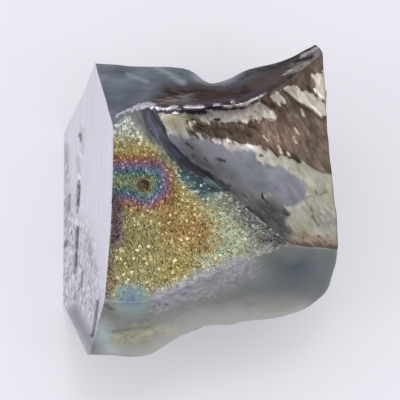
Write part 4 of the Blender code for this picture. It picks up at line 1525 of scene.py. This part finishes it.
def remembered(tree, skin, cells):
    """The skin whose faces keep their grain's middle and a random tone, before they move."""
    tone = add(tree, "ShaderNodeSeparateXYZ", {"Vector": cells["Color"]}).outputs["Z"]
    skin = add(tree, "GeometryNodeStoreNamedAttribute", {
        "Geometry": skin, "Name": "grain_tone", "Value": tone,
    }, data_type="FLOAT", domain="FACE").outputs["Geometry"]
    return add(tree, "GeometryNodeStoreNamedAttribute", {
        "Geometry": skin, "Name": "grain_middle", "Value": cells["Position"],
    }, data_type="FLOAT_VECTOR", domain="FACE").outputs["Geometry"]


# %% A node tree that turns a face into grains
GRAINY = 0.3  # from this amount of grain on, faces are flat and have the grains' finish


def grains_tree():
    """The steps put together, with a socket for each thing that can be tuned."""
    tree = bpy.data.node_groups.new("grains", "GeometryNodeTree")
    sockets = [("Geometry", "Geometry"), ("Grain size", "Float"), ("Tilt", "Float"),
               ("Step", "Float"), ("Jitter", "Float"), ("Seed", "Int"), ("Metal", "Material")]
    for name, kind in sockets:
        tree.interface.new_socket(name, in_out="INPUT", socket_type="NodeSocket" + kind)
    tree.interface.new_socket("Geometry", in_out="OUTPUT", socket_type="NodeSocketGeometry")
    given = add(tree, "NodeGroupInput").outputs
    amount = add(tree, "GeometryNodeInputNamedAttribute", {"Name": "grain_amount"},
                 data_type="FLOAT").outputs["Attribute"]
    place = add(tree, "GeometryNodeInputPosition").outputs["Position"]
    closeness = add(tree, "ShaderNodeMath", {0: 1.0, 1: given["Grain size"]},
                    operation="DIVIDE").outputs[0]
    cells = add(tree, "ShaderNodeTexVoronoi", {"Vector": place, "Scale": closeness},
                voronoi_dimensions="3D", feature="F1").outputs
    skin = remembered(tree, loosened(tree, given, amount), cells)
    skin = add(tree, "GeometryNodeSetPosition", {
        "Geometry": skin, "Offset": grain_rise(tree, given, amount, cells, place),
    }).outputs["Geometry"]
    grainy = add(tree, "FunctionNodeCompare", {0: amount, 1: GRAINY},
                 data_type="FLOAT", operation="GREATER_THAN").outputs["Result"]
    skin = add(tree, "GeometryNodeSetShadeSmooth", {
        "Geometry": skin, "Selection": grainy, "Shade Smooth": False,
    }, domain="FACE").outputs["Geometry"]
    skin = add(tree, "GeometryNodeRealizeInstances", {"Geometry": skin}).outputs["Geometry"]
    skin = add(tree, "GeometryNodeSetMaterial", {
        "Geometry": skin, "Selection": grainy, "Material": given["Metal"],
    }).outputs["Geometry"]
    add(tree, "NodeGroupOutput", {"Geometry": skin})
    return tree


# %% Grow the grains
GRAIN_SIZE, GRAIN_TILT, GRAIN_STEP, GRAIN_JITTER = 0.070 * MM, 0.30, 0.006 * MM, 0.006 * MM
GRAIN_FADE = 0.10  # millimetres over which the grains fade out at a smooth patch
GRAIN_SEED = 3
# Some patches have lower grains. Each takes this share of their height away.
LOW_GRAINS = {"pool": 0.5, "teal": 0.3, "hem": 0.4, "band_edge": 0.4}

smooth_depth = np.maximum(patch_depth(chunk.data, "bevel"), patch_depth(chunk.data, "riser"))
amount = point_zone(chunk.data, "grain") * np.clip(-smooth_depth / GRAIN_FADE, 0, 1)
for name, loss in LOW_GRAINS.items():
    amount *= 1 - loss * smooth_step(-GRAIN_FADE, GRAIN_FADE, patch_depth(chunk.data, name))
store(chunk.data, "grain_amount", amount)
grains = chunk.modifiers.new("grains", "NODES")
grains.node_group = grains_tree()
inputs = {item.name: item.identifier for item in grains.node_group.interface.items_tree
          if item.in_out == "INPUT"}
for name, value in {"Grain size": GRAIN_SIZE, "Tilt": GRAIN_TILT, "Step": GRAIN_STEP,
                    "Jitter": GRAIN_JITTER, "Seed": GRAIN_SEED,
                    "Metal": FINISHES["grain"]}.items():
    grains[inputs[name]] = value
apply_modifiers(chunk)
print("grains on", int((amount > GRAINY).sum()), "points")

# %% [markdown]
# ## Thickness of the film
#
# One number, the film's thickness, gives every colour on the grainy face. It runs from 0, bare
# metal, through straw, gold, red, violet, blue and green to brown at 1. It is taken at the middle of
# each grain, so that a whole grain has one colour, as a real crystal does. The ring comes last: it
# thickens inwards, so its colours follow one another of their own accord.

# %% What the film is like
BASE_FILM = 0.19  # gold, between straw and red
ORANGE_MORE = 0.12  # what the orange patch adds
PALE_LESS = 0.85  # share that the pale patch takes away
SPARKLE_SHARE, SPARKLE_FILM = 0.26, 0.80  # share of the sparkles that are green, and their film
TEAL_FILM = 0.67
RING_FADE = (-0.40, -0.12)  # millimetres from its edge over which the ring takes over
BROWN_SPOT = (-1.50, 0.70)  # middle of the thickest film
BROWN_REACH = (0.33, 0.08)  # millimetres from its middle where it starts, and where it is full
RING_DEPTHS = [-0.34, -0.14, 0.00, 0.09, 0.19, 0.28, 0.39, 0.52]  # millimetres inside its edge
RING_FILM = [0.27, 0.40, 0.47, 0.53, 0.60, 0.68, 0.80, 0.89]
FILM_NOISE = 0.022
FILM_CLOUDS, FILM_CLOUD_SIZE = 0.10, 0.55 * MM
print("the ring starts at a film of", RING_FILM[0], "and its spot reaches 1")

# %% Film thickness of each grain
tone = np.empty(len(chunk.data.polygons))
chunk.data.attributes["grain_tone"].data.foreach_get("value", tone)
middles = np.empty(3 * len(tone))
chunk.data.attributes["grain_middle"].data.foreach_get("vector", middles)
middles = middles.reshape(-1, 3)
grain_places = seen(middles)


def patch_share(name, soft):
    """How far inside a patch each grain's middle is, from 0 to 1."""
    return smooth_step(-soft, soft, depth_in(grain_places, **PATCHES[name]))


clouds = np.array([noise.noise(Vector(middle) / FILM_CLOUD_SIZE) for middle in middles])
film = np.full(len(tone), BASE_FILM)
film += ORANGE_MORE * patch_share("orange", 0.45)
film *= 1 - PALE_LESS * patch_share("pale_top", 0.20)
film += FILM_CLOUDS * clouds
# A multiple of the tone, without its whole part, is one more random number for each grain.
film[tone * 5 % 1 < SPARKLE_SHARE * patch_share("sparkle", 0.35)] = SPARKLE_FILM
film[tone * 3 % 1 < patch_share("teal", 0.12)] = TEAL_FILM
ring_depth = depth_in(grain_places, **PATCHES["ring"])
ring = np.interp(ring_depth, RING_DEPTHS, RING_FILM)
film += (ring - film) * smooth_step(*RING_FADE, ring_depth)
to_middle = np.linalg.norm(grain_places - BROWN_SPOT, axis=1)
film += (1.0 - film) * smooth_step(*BROWN_REACH, to_middle)
film = np.clip(film + FILM_NOISE * (2 * (tone * 7 % 1) - 1), 0, 1)
store(chunk.data, "film", film, domain="FACE")
print("film from", round(float(film.min()), 2), "to", round(float(film.max()), 2))

# %% [markdown]
# ## Into place
#
# The skin was shaped where its lines are. It moves so that its box sits in the solid's box, and
# then it stands for the solid, which stays hidden under it.

# %% Move the skin to the solid's place and hand it over
low, high = (np.array(corner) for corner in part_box(SOLID))
points = points_of(chunk.data)
shift = (low + high - points.min(axis=0) - points.max(axis=0)) / 2
shift[2] = low[2] - points[:, 2].min()
chunk.data.vertices.foreach_set("co", (points + shift).ravel())
chunk.data.update()
print("moved by", [round(float(x) / MM, 3) for x in shift], "mm")

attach(chunk, "root")
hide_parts(SOLID)
